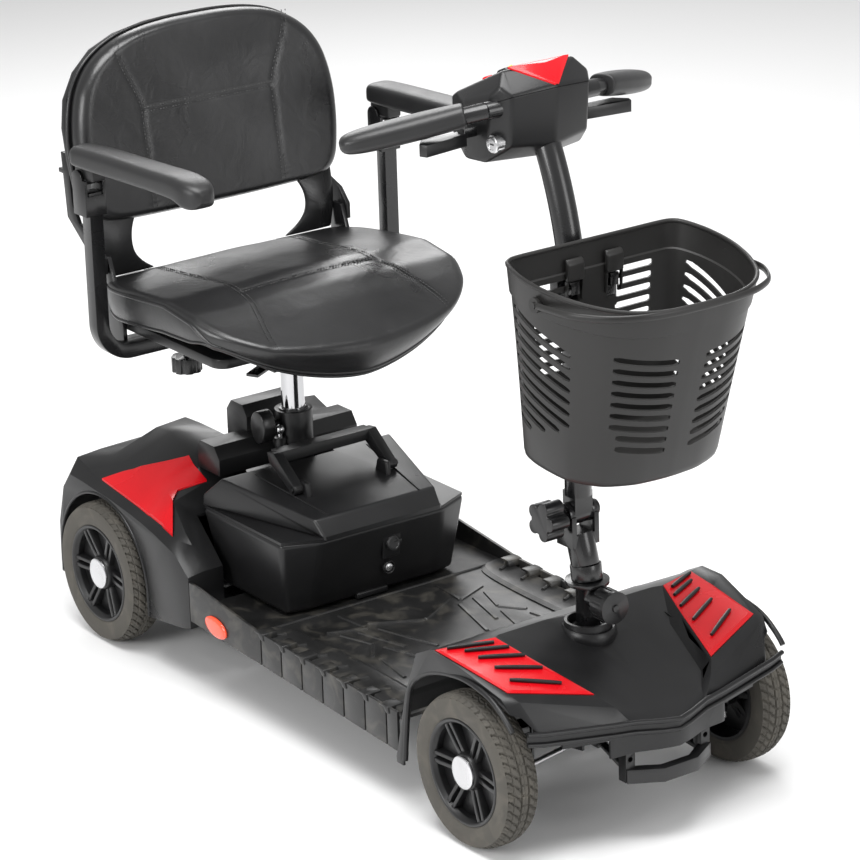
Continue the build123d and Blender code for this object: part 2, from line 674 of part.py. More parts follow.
def battery_lid():
    """Faceted lid with the handle's ears and pivot pins."""
    limits = (168, 382, BATTERY_HALF_WIDTH + 1, LID_SEAM_Z, 277)
    lid = faceted(limits, (270, 0, 240), LID_FACETS)
    lid -= Pos(0, 0, -0.01) * faceted(limits, (270, 0, 240), LID_FACETS, WALL)
    lid -= post_notch()
    x0, x1, half = POST_NOTCH
    wall = block(x1, x1 + 3, -half - 3, half + 3, LID_SEAM_Z, 277)
    for side in (1, -1):
        cheek = block(190, x1 + 3, half, half + 3, LID_SEAM_Z, 276)
        wall += cheek if side > 0 else mirror(cheek, about=Plane.XZ)
    lid += wall & faceted(limits, (270, 0, 240), LID_FACETS, 0.2)
    for side in (1, -1):
        ear = side_prism([(276, 262), (304, 256), (300, 280), (282, 280)], 62, 69)
        ear += bar((HANDLE_PIVOT_X, 66, HANDLE_PIVOT_Z), (HANDLE_PIVOT_X, 86, HANDLE_PIVOT_Z), 4)
        lid += ear if side > 0 else mirror(ear, about=Plane.XZ)
    return lid


def battery_cells():
    """Two sealed batteries side by side."""
    cell = block(212, 338, 4, 127, 128, 222)
    cell += block(225, 240, 20, 32, 222, 226)
    return group(both_sides(cell))


def battery_handle():
    """Carry handle: two arms from the lid's pivots to a cross bar."""
    arm = None
    for side in (1, -1):
        pivot = (HANDLE_PIVOT_X, HANDLE_PIVOT_Z)
        leg = side_prism([(284, 270), (297, 276), (248, 313), (232, 311), (236, 298)], 70, 84)
        leg += bar((pivot[0], 70, pivot[1]), (pivot[0], 84, pivot[1]), 7)
        leg -= bar((HANDLE_PIVOT_X, 60, HANDLE_PIVOT_Z), (HANDLE_PIVOT_X, 90, HANDLE_PIVOT_Z), 4.05)
        leg = leg if side > 0 else mirror(leg, about=Plane.XZ)
        arm = leg if arm is None else arm + leg
    return arm + block(230, 250, -76, 76, 298, 313)


def charge_cap():
    """Round cap over the charging port, hinged on its left edge."""
    cap = bar((374.8, 17, 198), (378.5, 17, 198), 10)
    cap += block(376.5, 378.5, 17, 30, 195, 201)
    return cap + bar((377.5, 30, 194), (377.5, 30, 202), 1.6)


def breaker_button():
    """Reset button of the circuit breaker."""
    return bar((350, 16, 160), (368, 16, 160), 7)


write("battery_case", battery_case())
write("battery_lid", battery_lid())
write("battery_cells", battery_cells())
write("battery_handle", battery_handle())
write("charge_cap", charge_cap())
write("breaker_button", breaker_button())


# ---------------------------------------------------------------- seat
def seat_post():
    """Chromed seat post."""
    return bar((POST_X, 0, 214), (POST_X, 0, POST_TOP), POST_RADIUS)


def seat_frame():
    """Steel seat frame: swivel hub, plates, arm receiver and backrest brackets with their pins."""
    hub = bar((POST_X, 0, 404), (POST_X, 0, 447), 24)
    hub -= bar((POST_X, 0, 400), (POST_X, 0, POST_TOP + 0.3), POST_RADIUS + 0.08)
    plate = block(88, 284, -100, 100, 441, 447)
    receiver = block(ARM_X - 13, ARM_X + 13, -130, 130, 429, 455)
    hollow = ARM_TUBE / 2 + 0.3
    receiver -= block(ARM_X - hollow, ARM_X + hollow, -131, 131, ARM_RUN_Z - hollow, ARM_RUN_Z + hollow)
    for y in (-105, 105):
        receiver -= bar((ARM_X, y, 420), (ARM_X, y, 435), 4.1)
    cross = block(34, 59, -194, 194, 441, 447)
    frame = hub + plate + receiver + cross
    for side in (1, -1):
        bracket = side_prism([(-4, 441), (59, 441), (59, 470), (36, 540), (28, 560), (8, 560), (4, 540)], 188, 194)
        bracket += bar((BACK_HINGE_X, 188, BACK_HINGE_Z), (BACK_HINGE_X, 205, BACK_HINGE_Z), 5)
        frame += bracket if side > 0 else mirror(bracket, about=Plane.XZ)
    lever_pin = bar((208, -40, 430), (208, -40, 442), 4)
    return frame + lever_pin


def rounded_plan(points, radii, z0, z1):
    """Solid with a level outline whose corners are rounded."""
    path = FilletPolyline(*[(x, y) for x, y in points], radius=radii, close=True)
    return Pos(0, 0, z0) * extrude(make_face(path), amount=z1 - z0)


SEAT_OUTLINE = [(-24, 160), (60, SEAT_HALF_WIDTH), (310, SEAT_HALF_WIDTH), (384, 120)]


def hinge_relief():
    """Space beside the seat's rear corners for the backrest brackets."""
    notch = block(-30, 64, 184, 230, 430, 600)
    return notch + mirror(notch, about=Plane.XZ)


def seat_pan():
    """Moulded pan under the seat cushion."""
    pan = rounded_plan(mirrored_plan([(0, 140), (40, 185), (284, 185)]), 20, 462, 475.5)
    pan += block(96, 284, -112, 112, 447.5, 463)
    return pan - block(30, 92, -200, 200, 440, 457)


CUSHION_PROFILE = [
    (-22, 490), (-20, 512), (20, 527), (120, 538), (200, 545), (262, 535), (330, 512), (364, 496), (380, 484),
    (378, 474), (345, 455), (310, 443), (294, 445), (286, 476), (90, 476), (0, 480),
]
CUSHION_FRONT = [
    (-213, 560), (-213, 488), (-190, 486), (-150, 466), (-100, 455), (0, 441), (100, 455), (150, 466), (190, 486),
    (213, 488), (213, 560),
]


def seat_cushion():
    """Seat cushion as a plain solid with a front edge that rolls down."""
    cushion = rounded_plan(mirrored_plan(SEAT_OUTLINE), 45, 430, 560)
    cushion &= side_prism(CUSHION_PROFILE, -230, 230)
    cushion &= front_prism(CUSHION_FRONT, -40, 400)
    return cushion - hinge_relief()


def swivel_lever():
    """Lever under the seat's right side that frees the swivel."""
    lever = plan_prism([(198, -40), (218, -34), (262, -112), (246, -120)], 431, 435)
    return lever - bar((208, -40, 425), (208, -40, 440), 4.05)


BACK_OUTLINE = [
    (0, 859), (60, 857), (112, 848), (152, 832), (182, 806), (202, 772), (209, 735), (208, 690), (203, 640),
    (192, 612), (170, 601), (0, 598),
]


def back_slab(x0, x1):
    """Upright slab with the backrest's outline, tilted back about its lower edge."""
    points = BACK_OUTLINE + [(-y, z) for y, z in reversed(BACK_OUTLINE[1:-1])]
    slab = front_prism(points, x0, x1)
    lean = Pos(12, 0, 602) * Rot(0, -BACK_TILT, 0) * Pos(-12, 0, -602)
    return lean * slab


BACK_ARM_PROFILE = [
    (8, 538), (32, 538), (32, 560), (14, 580), (-30, 596), (-44, 620), (-50, 690), (-66, 690), (-58, 600), (-20, 570),
]


def back_shell():
    """Rear shell of the backrest with its two hinge arms."""
    shell = back_slab(-30, -20)
    for side in (1, -1):
        arm = side_prism(BACK_ARM_PROFILE, 196, 202)
        arm -= back_slab(-30, 30)
        tab = block(-74, -46, 150, 202, 660, 666) - back_slab(-30, 30)
        arm = arm + tab
        arm -= bar((BACK_HINGE_X, 180, BACK_HINGE_Z), (BACK_HINGE_X, 210, BACK_HINGE_Z), 5.05)
        shell += arm if side > 0 else mirror(arm, about=Plane.XZ)
    return shell


write("seat_post", seat_post())
write("seat_frame", seat_frame())
write("seat_pan", seat_pan())
write("seat_cushion", seat_cushion())
write("swivel_lever", swivel_lever())
write("back_shell", back_shell())
write("back_cushion", back_slab(-19.5, 22))


# ---------------------------------------------------------------- arms
def arm_tube(side):
    """Bent square tube of one arm with the ears and pin of its pad."""
    half = ARM_TUBE / 2
    run_end = ARM_Y - ARM_BEND_RADIUS
    run = block(ARM_X - half, ARM_X + half, 42, run_end, ARM_RUN_Z - half, ARM_RUN_Z + half)
    section = Wire.make_polygon([
        (ARM_X - half, run_end, ARM_RUN_Z - half), (ARM_X + half, run_end, ARM_RUN_Z - half),
        (ARM_X + half, run_end, ARM_RUN_Z + half), (ARM_X - half, run_end, ARM_RUN_Z + half),
    ], close=True)
    bend_axis = Axis((0, run_end, ARM_RUN_Z + ARM_BEND_RADIUS), (1, 0, 0))
    bend = revolve(Face(section), axis=bend_axis, revolution_arc=90)
    upright = block(ARM_X - half, ARM_X + half, ARM_Y - half, ARM_Y + half, ARM_RUN_Z + ARM_BEND_RADIUS, 672)
    tube = run + bend + upright
    for y in (ARM_Y - 16, ARM_Y + 12):
        ear = block(52, 84, y, y + 4, 640, 690) + bar((PAD_PIVOT_X, y, 690), (PAD_PIVOT_X, y + 4, 690), 12)
        tube += ear
    tube += block(52, 84, ARM_Y - 13, ARM_Y + 13, 640, 668)
    tube += bar((PAD_PIVOT_X, ARM_Y - 16, PAD_PIVOT_Z), (PAD_PIVOT_X, ARM_Y + 16, PAD_PIVOT_Z), 5)
    return tube if side > 0 else mirror(tube, about=Plane.XZ)


def arm_pad(side):
    """Arm pad with the hinge block under its rear end."""
    profile = [
        (50, 710), (52, 731), (70, 735), (300, 747), (345, 742), (358, 730), (356, 712), (338, 708), (310, 718),
        (110, 709),
    ]
    plan = [
        (50, ARM_Y - 10), (62, ARM_Y - 22), (90, ARM_Y - 25), (330, ARM_Y - 25), (352, ARM_Y - 18), (358, ARM_Y - 8),
        (358, ARM_Y + 8), (352, ARM_Y + 18), (330, ARM_Y + 25), (90, ARM_Y + 25), (62, ARM_Y + 22), (50, ARM_Y + 10),
    ]
    pad = side_prism(profile, ARM_Y - 25, ARM_Y + 25) & plan_prism(plan, 690, 760)
    hinge = block(50, 96, ARM_Y - 11, ARM_Y + 11, 686, 710)
    hinge += bar((PAD_PIVOT_X, ARM_Y - 11, PAD_PIVOT_Z), (PAD_PIVOT_X, ARM_Y + 11, PAD_PIVOT_Z), 11)
    hinge -= block(50, 100, ARM_Y - 11, ARM_Y + 11, 670, 678)
    hinge -= bar((PAD_PIVOT_X, ARM_Y - 20, PAD_PIVOT_Z), (PAD_PIVOT_X, ARM_Y + 20, PAD_PIVOT_Z), 5.05)
    whole = pad + hinge
    return whole if side > 0 else mirror(whole, about=Plane.XZ)


def arm_knob(side):
    """Clamp knob under the arm receiver, with its threaded rod."""
    y = 105 * side
    rod = bar((ARM_X, y, 404), (ARM_X, y, 431.5), 4)
    grip = bar((ARM_X, y, 391), (ARM_X, y, 412), 21)
    for index in range(8):
        grip -= Pos(ARM_X, y, 400) * Rot(0, 0, index * 45) * Pos(24, 0, 0) * Cylinder(5, 40)
    return rod + grip


for side_name, side_sign in (("left", 1), ("right", -1)):
    write(f"{side_name}_arm_tube", arm_tube(side_sign))
    write(f"{side_name}_arm_pad", arm_pad(side_sign))
    write(f"{side_name}_arm_knob", arm_knob(side_sign))


# ---------------------------------------------------------------- tiller
TUBE_END_ANGLE = 26.5
BEND_CENTRE_X = FOLD_X + 3 - TUBE_BEND_RADIUS
BAR_HEIGHT = 889.0
BAR_X = 748.0
THROTTLE_X = 722.0
GRIP_INNER = (735.0, 104.0, 886.0)
GRIP_OUTER = (654.0, 232.0, 854.0)


def tiller_tube():
    """Folding tiller: hinge lug, bowed tube, handlebar and the basket bracket."""
    lug = bar((FOLD_X, -13.7, FOLD_Z), (FOLD_X, 13.7, FOLD_Z), 14.5)
    lug += block(FOLD_X - 11, FOLD_X + 14, -13.7, 13.7, FOLD_Z, FOLD_Z + 30)
    lug -= bar((FOLD_X, -20, FOLD_Z), (FOLD_X, 20, FOLD_Z), 5.05)
    tube_x = FOLD_X + 3
    straight = bar((tube_x, 0, FOLD_Z + 24), (tube_x, 0, TUBE_BEND_Z), TUBE_RADIUS)
    section = Plane(origin=(tube_x, 0, TUBE_BEND_Z), z_dir=(0, 0, 1)) * Circle(TUBE_RADIUS)
    bend_axis = Axis((BEND_CENTRE_X, 0, TUBE_BEND_Z), (0, -1, 0))
    bow = revolve(section, axis=bend_axis, revolution_arc=TUBE_END_ANGLE)
    top_x = BEND_CENTRE_X + TUBE_BEND_RADIUS * math.cos(math.radians(TUBE_END_ANGLE))
    top_z = TUBE_BEND_Z + TUBE_BEND_RADIUS * math.sin(math.radians(TUBE_END_ANGLE))
    neck = bar((top_x + 3, 0, top_z - 6), (BAR_X, 0, BAR_HEIGHT), 13)
    cross = bar((BAR_X, -84, BAR_HEIGHT), (BAR_X, 84, BAR_HEIGHT), 11)
    tube = lug + straight + bow + neck + cross
    for side in (1, -1):
        outer = (GRIP_OUTER[0] + 14, side * (GRIP_OUTER[1] - 20), GRIP_OUTER[2] + 6)
        tube += bar((BAR_X, side * 79, BAR_HEIGHT), outer, 10.9)
    tube += block(tube_x + 10, 834, -45, 45, 640, 700)
    for y in HOOK_YS:
        tube += block(834, 850, y - 6, y + 6, 672, 680) + block(846.5, 850, y - 6, y + 6, 672, 688)
    tube += bar((THROTTLE_X, 0, 847), (THROTTLE_X, 0, 872), 5)
    tube += block(THROTTLE_X - 4, 750, -7, 7, 865, 872)
    return tube


def fold_knob():
    """Lobed hand knob and its screw through the tiller hinge."""
    screw = bar((FOLD_X, -34, FOLD_Z), (FOLD_X, 26, FOLD_Z), 5)
    nut = bar((FOLD_X, 22, FOLD_Z), (FOLD_X, 29, FOLD_Z), 10)
    grip = bar((FOLD_X, -31, FOLD_Z), (FOLD_X, -58, FOLD_Z), 18)
    for index in range(5):
        angle = math.radians(index * 72)
        x = FOLD_X + 17 * math.cos(angle)
        z = FOLD_Z + 17 * math.sin(angle)
        grip += bar((x, -31, z), (x, -58, z), 9)
    return screw + nut + grip


def grip(side):
    """Broad hand grip round the end of the handlebar."""
    inner = Vector(GRIP_INNER[0], side * GRIP_INNER[1], GRIP_INNER[2])
    outer = Vector(GRIP_OUTER[0], side * GRIP_OUTER[1], GRIP_OUTER[2])
    along = outer - inner
    section = Plane(origin=inner, x_dir=(0, 0, 1), z_dir=along) * RectangleRounded(30, 40, 13)
    solid = extrude(section, amount=along.length)
    bar_inner = (BAR_X, side * 79, BAR_HEIGHT)
    bar_outer = (GRIP_OUTER[0] + 14, side * (GRIP_OUTER[1] - 20), GRIP_OUTER[2] + 6)
    return solid - bar(bar_inner, bar_outer, 11.02) - Pos(*bar_outer) * Sphere(11.02)


HEAD_CENTRE = (715, 0, 870)
HEAD_LIMITS = (642, 784, 73, 815, 934)
HEAD_FACETS = [
    [(642, 0, 884), (744, 0, 934), (744, 50, 934)],
    [(744, 52, 934), (770, 59, 907), (783, 0, 914)],
    [(783, 0, 914), (770, 59, 907), (765, 58, 844)],
    [(770, 59, 907), (765, 58, 844), (744, 73, 907)],
    [(765, 58, 844), (783, 0, 844), (735, 60, 820)],
    [(735, 0, 819), (690, 0, 816), (690, 50, 816)],
    [(690, 0, 816), (652, 0, 831), (652, 50, 831)],
    [(642, 56, 885), (642, 56, 831), (690, 73, 885)],
    [(744, 54, 934), (690, 60, 907), (744, 73, 905)],
]
SEAM_POINTS = [(739, 0, 893), (770, 0, 906), (770, 50, 906)]


def head_shell(upper):
    """Upper or lower half of the control head's thin housing."""
    outer = faceted(HEAD_LIMITS, HEAD_CENTRE, HEAD_FACETS)
    shell = outer - faceted((642, 784, 73, 817.5, 934), HEAD_CENTRE, HEAD_FACETS, 2.5)
    keep_point = (700, 0, 980) if upper else (700, 0, 780)
    half = trim(shell, SEAM_POINTS, keep_point, 0.1)
    half -= bar((BAR_X, -100, BAR_HEIGHT), (BAR_X, 100, BAR_HEIGHT), 11.3)
    for side in (1, -1):
        half -= bar((BAR_X, side * 60, BAR_HEIGHT), (722, side * 120, BAR_HEIGHT - 10), 12.5)
    if upper:
        half -= dash_bar(686, 0, -30, 30, 14.3)
        half -= dash_bar(700, -42, -30, 30, 7.3)
        return half
    half -= bar((769, 0, 790), (757, 0, 852), TUBE_RADIUS + 2)
    half -= block(686, 740, -90, 90, 846, 866)
    half -= bar((750, -60, 847), (750, -80, 847), 9.05)
    return half


def dash_bar(x, y, low, high, radius):
    """Round bar square to the dash slope, between two heights above the dash surface."""
    slope = math.atan2(50, 102)
    surface = Vector(x, y, 884 + (x - 642) * 50 / 102)
    normal = Vector(-math.sin(slope), 0, math.cos(slope))
    return bar(tuple(surface + normal * low), tuple(surface + normal * high), radius)


def head_red_panel():
    """Coloured arrow-shaped panel on the front slope of the control head."""
    layer = faceted((642, 790, 73, 815, 936), HEAD_CENTRE, HEAD_FACETS, -1.6) \
        - faceted(HEAD_LIMITS, HEAD_CENTRE, HEAD_FACETS)
    panel = layer & plan_prism([(745.5, -46), (782, -3), (782, 3), (745.5, 46)], 905, 940)
    return panel.solids().sort_by(SortBy.VOLUME)[-1]


def throttle_lever():
    """Two-ended thumb lever that pivots inside the head and returns to the middle."""
    lever = bar((THROTTLE_X, 0, 850), (THROTTLE_X, 0, 862), 12) + block(702, 716, -92, 92, 850, 862)
    for side in (1, -1):
        blade = plan_prism([(701, 90), (719, 90), (728, 156), (718, 160), (702, 146)], 841, 856)
        lever += blade if side > 0 else mirror(blade, about=Plane.XZ)
    return lever - bar((THROTTLE_X, 0, 835), (THROTTLE_X, 0, 870), 5.05)


def key_switch():
    """Key-operated switch barrel in the head's right side."""
    return bar((750, -62, 847), (750, -75, 847), 9) + bar((750, -73.2, 847), (750, -76, 847), 11)


write("tiller_tube", tiller_tube())
write("fold_knob", fold_knob())
write("hand_grips", group(grip(1), grip(-1)))
write("head_upper_shell", head_shell(True))
write("head_lower_shell", head_shell(False))
write("head_red_panel", head_red_panel())
write("throttle_lever", throttle_lever())
write("speed_dial", dash_bar(686, 0, -6, 10, 14))
write("horn_button", dash_bar(700, -42, -6, 3, 7))
write("key_switch", key_switch())


# ---------------------------------------------------------------- basket
BASKET_TOP = [(843, 127), (880, 141), (938, 142), (981, 131), (1020, 110), (1047, 73), (1056, 24)]
BASKET_BOTTOM = [(840, 108), (870, 119), (930, 115), (957, 99), (974, 79), (986, 45), (989, 14)]


def basket_solid(inset, floor):
    """D-shaped bucket, narrower at the bottom, whose rim and floor fall towards the front."""
    low = []
    high = []
    for x, y in BASKET_BOTTOM:
        low.append((920 + (x - 920) * (1 - inset / 75), y * (1 - inset / 115), BASKET_FLOOR_Z + floor))
    for x, y in BASKET_TOP:
        high.append((945 + (x - 945) * (1 - inset / 108), y * (1 - inset / 140), BASKET_RIM_Z + floor / 100))
    wires = []
    for half in (low, high):
        full = half + [(x, -y, z) for x, y, z in reversed(half)]
        sloped = [(x, y, z - BASKET_SLOPE * (x - 843)) for x, y, z in full]
        wires.append(Wire.make_polygon(sloped, close=True))
    return Solid.make_loft(wires, ruled=True)


def basket():
    """Basket with slots in its walls, open top and the pivots of its handle."""
    shell = basket_solid(0, 0) - basket_solid(BASKET_WALL, BASKET_WALL)
    for index in range(9):
        z = 503 + index * 17
        shell -= block(1000 - (8 - index) * 3, 1080, -46, 46, z, z + 8)
    for side in (1, -1):
        for index in range(10):
            slot = Pos(925, side * 130, 512 + index * 17) * Rot(0, 34, 0) * Box(96, 60, 8)
            shell -= slot
    for index in range(6):
        z = 540 + index * 22
        shell -= block(820, 852, 46, 96, z, z + 12)
        shell -= block(820, 852, -96, -46, z, z + 12)
    for y in HOOK_YS:
        shell -= block(820, 850, y - 8, y + 8, 657, 680.3)
    for side in (1, -1):
        pivot = (BASKET_HANDLE_X, side * 132, BASKET_HANDLE_Z)
        shell += bar(pivot, (BASKET_HANDLE_X, side * 152, BASKET_HANDLE_Z), 4)
    return shell


def basket_handle():
    """Carry handle that lies forward along the rim."""
    outline = [(926, 149), (986, 144), (1032, 118), (1055, 78), (1063, 24)]
    inner = [(926, 145), (984, 140), (1028, 115), (1051, 76), (1059, 23)]
    ring_points = mirrored_plan(outline)
    strap = plan_prism(ring_points, -4, 4) - plan_prism(mirrored_plan(inner), -5, 5)
    strap -= block(900, 926, -200, 200, -10, 10)
    strap = Pos(BASKET_HANDLE_X, 0, BASKET_HANDLE_Z) * Rot(0, -1, 0) * Pos(-BASKET_HANDLE_X, 0, 0) * strap
    hole = bar((BASKET_HANDLE_X, -160, BASKET_HANDLE_Z), (BASKET_HANDLE_X, 160, BASKET_HANDLE_Z), 4.05)
    handle = strap
    for side in (1, -1):
        handle += bar((BASKET_HANDLE_X, side * 145, BASKET_HANDLE_Z), (BASKET_HANDLE_X, side * 150, BASKET_HANDLE_Z), 9)
    return handle - hole


write("basket", basket())
write("basket_handle", basket_handle())
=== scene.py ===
import math
import bmesh
import bpy
from mathutils import Matrix, Vector


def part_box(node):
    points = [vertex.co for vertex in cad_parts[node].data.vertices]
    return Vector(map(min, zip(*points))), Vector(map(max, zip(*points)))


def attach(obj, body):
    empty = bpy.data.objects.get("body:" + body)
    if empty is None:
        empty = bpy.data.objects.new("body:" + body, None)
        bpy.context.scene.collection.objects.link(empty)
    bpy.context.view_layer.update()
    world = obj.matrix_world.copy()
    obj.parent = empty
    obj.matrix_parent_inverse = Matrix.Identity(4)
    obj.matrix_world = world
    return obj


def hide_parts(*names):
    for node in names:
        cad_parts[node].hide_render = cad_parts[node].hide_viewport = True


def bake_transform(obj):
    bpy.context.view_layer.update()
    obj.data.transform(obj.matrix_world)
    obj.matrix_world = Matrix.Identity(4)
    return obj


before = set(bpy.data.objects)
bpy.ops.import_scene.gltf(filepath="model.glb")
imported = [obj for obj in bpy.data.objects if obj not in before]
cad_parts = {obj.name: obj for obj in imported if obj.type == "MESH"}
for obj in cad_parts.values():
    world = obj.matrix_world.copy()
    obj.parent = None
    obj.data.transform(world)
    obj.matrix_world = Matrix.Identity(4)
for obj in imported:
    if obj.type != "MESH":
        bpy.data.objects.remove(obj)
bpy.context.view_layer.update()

# Lengths below are millimetres measured forwards from the rear axle, from the middle and from the floor.
AXLE_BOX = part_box("rear_left_rim")
REAR_AXLE_X = (AXLE_BOX[0].x + AXLE_BOX[1].x) / 2
MM = 0.001


def at(x, y, z):
    """Frame position in metres of a point given in millimetres from the rear axle."""
    return Vector((REAR_AXLE_X + x * MM, y * MM, z * MM))


def clamp(value, low=0.0, high=1.0):
    return max(low, min(high, value))


def smooth_step(low, high, value):
    share = clamp((value - low) / (high - low))
    return share * share * (3 - 2 * share)


def circle(steps):
    """Angles of equal steps round a circle."""
    return [math.tau * k / steps for k in range(steps)]


def span(sign, near, far):
    """Low and high end of a stretch across the width, on the left (1) or the right (-1)."""
    return sorted((sign * near, sign * far))


def squared(value, power):
    """Sine or cosine bent towards a squarer section."""
    return math.copysign(abs(value) ** power, value)


# ---------------------------------------------------------------- materials
def noise(nodes, links, coords, scale, detail, distortion=0.0):
    texture = nodes.new("ShaderNodeTexNoise")
    texture.inputs["Scale"].default_value = scale
    texture.inputs["Detail"].default_value = detail
    texture.inputs["Distortion"].default_value = distortion
    links.new(coords, texture.inputs["Vector"])
    return texture.outputs["Fac"]


def spread(nodes, links, value, low, high):
    node = nodes.new("ShaderNodeMapRange")
    node.inputs["From Min"].default_value = 0.3
    node.inputs["From Max"].default_value = 0.7
    node.inputs["To Min"].default_value = low
    node.inputs["To Max"].default_value = high
    links.new(value, node.inputs["Value"])
    return node.outputs["Result"]


def tint(nodes, links, factor, first, second):
    node = nodes.new("ShaderNodeMix")
    node.data_type = "RGBA"
    links.new(factor, node.inputs["Factor"])
    for index, color in ((6, first), (7, second)):
        if isinstance(color, tuple):
            node.inputs[index].default_value = (*color, 1.0)
        else:
            links.new(color, node.inputs[index])
    return node.outputs[2]


def bump(nodes, links, height, strength, distance, normal=None):
    node = nodes.new("ShaderNodeBump")
    node.inputs["Strength"].default_value = strength
    node.inputs["Distance"].default_value = distance
    links.new(height, node.inputs["Height"])
    if normal is not None:
        links.new(normal, node.inputs["Normal"])
    return node.outputs["Normal"]


def finish(name, color, rough, spread_rough=0.08, shade=0.25, patch=9.0, grain=1400.0, grain_depth=0.12,
           metallic=0.0, coat=0.0, dust=None, dust_amount=0.0, cells=0.0, wrinkle=0.0, specular=0.5):
    """Procedural finish: patchy colour and roughness, fine grain, and optional dust, cells and wrinkles."""
    made = bpy.data.materials.new(name)
    made.use_nodes = True
    nodes, links = made.node_tree.nodes, made.node_tree.links
    shader = nodes["Principled BSDF"]
    coords = nodes.new("ShaderNodeTexCoord").outputs["Object"]
    patches = noise(nodes, links, coords, patch, 5.0, 0.4)
    dark = tuple(channel * (1 - shade) for channel in color)
    light = tuple(min(1.0, channel * (1 + shade)) for channel in color)
    tone = tint(nodes, links, spread(nodes, links, patches, 0.0, 1.0), dark, light)
    if dust is not None:
        fine_patches = noise(nodes, links, coords, patch * 2.3, 9.0, 0.8)
        specks = spread(nodes, links, fine_patches, -dust_amount, dust_amount)
        tone = tint(nodes, links, specks, tone, dust)
    links.new(tone, shader.inputs["Base Color"])
    roughness = spread(nodes, links, patches, rough - spread_rough, rough + spread_rough)
    links.new(roughness, shader.inputs["Roughness"])
    normal = bump(nodes, links, noise(nodes, links, coords, grain, 2.0), grain_depth, 0.0004)
    if cells:
        voronoi = nodes.new("ShaderNodeTexVoronoi")
        voronoi.feature = "DISTANCE_TO_EDGE"
        voronoi.inputs["Scale"].default_value = cells
        links.new(coords, voronoi.inputs["Vector"])
        normal = bump(nodes, links, voronoi.outputs["Distance"], 0.22, 0.0006, normal)
    if wrinkle:
        normal = bump(nodes, links, noise(nodes, links, coords, 26.0, 3.0, 1.2), wrinkle, 0.004, normal)
    links.new(normal, shader.inputs["Normal"])
    shader.inputs["Metallic"].default_value = metallic
    shader.inputs["Coat Weight"].default_value = coat
    shader.inputs["Coat Roughness"].default_value = 0.06
    shader.inputs["Specular IOR Level"].default_value = specular
    return made


SHELL = finish("textured_black_plastic", (0.010, 0.010, 0.0105), 0.33, 0.06, 0.15, grain=1500,
               grain_depth=0.12, specular=0.36)
DECK = finish("deck_black_plastic", (0.011, 0.011, 0.011), 0.38, 0.10, 0.25, patch=14, grain=1100,
              grain_depth=0.22, dust=(0.13, 0.12, 0.10), dust_amount=0.30)
RED = finish("gloss_red", (0.58, 0.003, 0.008), 0.26, 0.04, 0.08, grain=500, grain_depth=0.02, coat=0.12,
             specular=0.3)
TYRE = finish("grey_rubber", (0.060, 0.055, 0.046), 0.72, 0.08, 0.22, patch=16, grain=900, grain_depth=0.25,
              dust=(0.14, 0.125, 0.10), dust_amount=0.30)
WHEEL = finish("satin_black_wheel", (0.008, 0.008, 0.0085), 0.36, 0.06, 0.2, grain=1200, grain_depth=0.10)
PAINT = finish("black_powder_coat", (0.006, 0.006, 0.0065), 0.26, 0.05, 0.2, grain=1800, grain_depth=0.10,
               coat=0.2)
CHROME = finish("chrome", (0.50, 0.50, 0.51), 0.09, 0.03, 0.05, grain=300, grain_depth=0.01, metallic=1.0)
STEEL = finish("zinc_steel", (0.62, 0.62, 0.63), 0.28, 0.08, 0.12, grain=900, grain_depth=0.08, metallic=1.0)
LEATHER = finish("black_vinyl", (0.009, 0.009, 0.0095), 0.30, 0.06, 0.22, patch=7, grain=2200,
                 grain_depth=0.06, cells=620, wrinkle=0.16, specular=0.6)
PAD = finish("moulded_foam_skin", (0.011, 0.011, 0.0115), 0.40, 0.06, 0.2, grain=1700, grain_depth=0.14,
             cells=900)
KNOB = finish("satin_black_knob", (0.008, 0.008, 0.0085), 0.30, 0.05, 0.2, grain=1600, grain_depth=0.10)
ORANGE = finish("reflector_orange", (0.80, 0.075, 0.03), 0.18, 0.05, 0.12, grain=400, grain_depth=0.10,
                coat=0.6)
GREY = finish("grey_casing", (0.20, 0.20, 0.21), 0.45, 0.08, 0.15)
IRON = finish("painted_iron", (0.16, 0.16, 0.165), 0.5, 0.1, 0.3, grain=600, grain_depth=0.3)
BASKET = finish("basket_plastic", (0.017, 0.0165, 0.016), 0.40, 0.05, 0.10, grain=1500, grain_depth=0.10,
                specular=0.36)
THREAD = finish("dark_thread", (0.055, 0.055, 0.055), 0.7, 0.1, 0.3, grain=3000, grain_depth=0.3)
YELLOW = finish("yellow_mark", (0.85, 0.62, 0.03), 0.4, 0.05, 0.1, grain=900, grain_depth=0.05)


# ---------------------------------------------------------------- mesh helpers
def new_object(name, mesh):
    made = bpy.data.objects.new(name, mesh)
    bpy.context.scene.collection.objects.link(made)
    return made


def mesh_from(name, points, faces, metres=False):
    mesh = bpy.data.meshes.new(name)
    mesh.from_pydata([tuple(p) if metres else tuple(at(*p)) for p in points], [], faces)
    tidy = bmesh.new()
    tidy.from_mesh(mesh)
    bmesh.ops.remove_doubles(tidy, verts=tidy.verts, dist=1e-6)
    bmesh.ops.dissolve_degenerate(tidy, edges=tidy.edges, dist=1e-6)
    bmesh.ops.recalc_face_normals(tidy, faces=tidy.faces)
    tidy.to_mesh(mesh)
    tidy.free()
    return new_object(name, mesh)


def apply_modifiers(piece):
    """Replace the piece's mesh by its modified one."""
    graph = bpy.context.evaluated_depsgraph_get()
    final = bpy.data.meshes.new_from_object(piece.evaluated_get(graph))
    piece.modifiers.clear()
    piece.data = final
    return piece


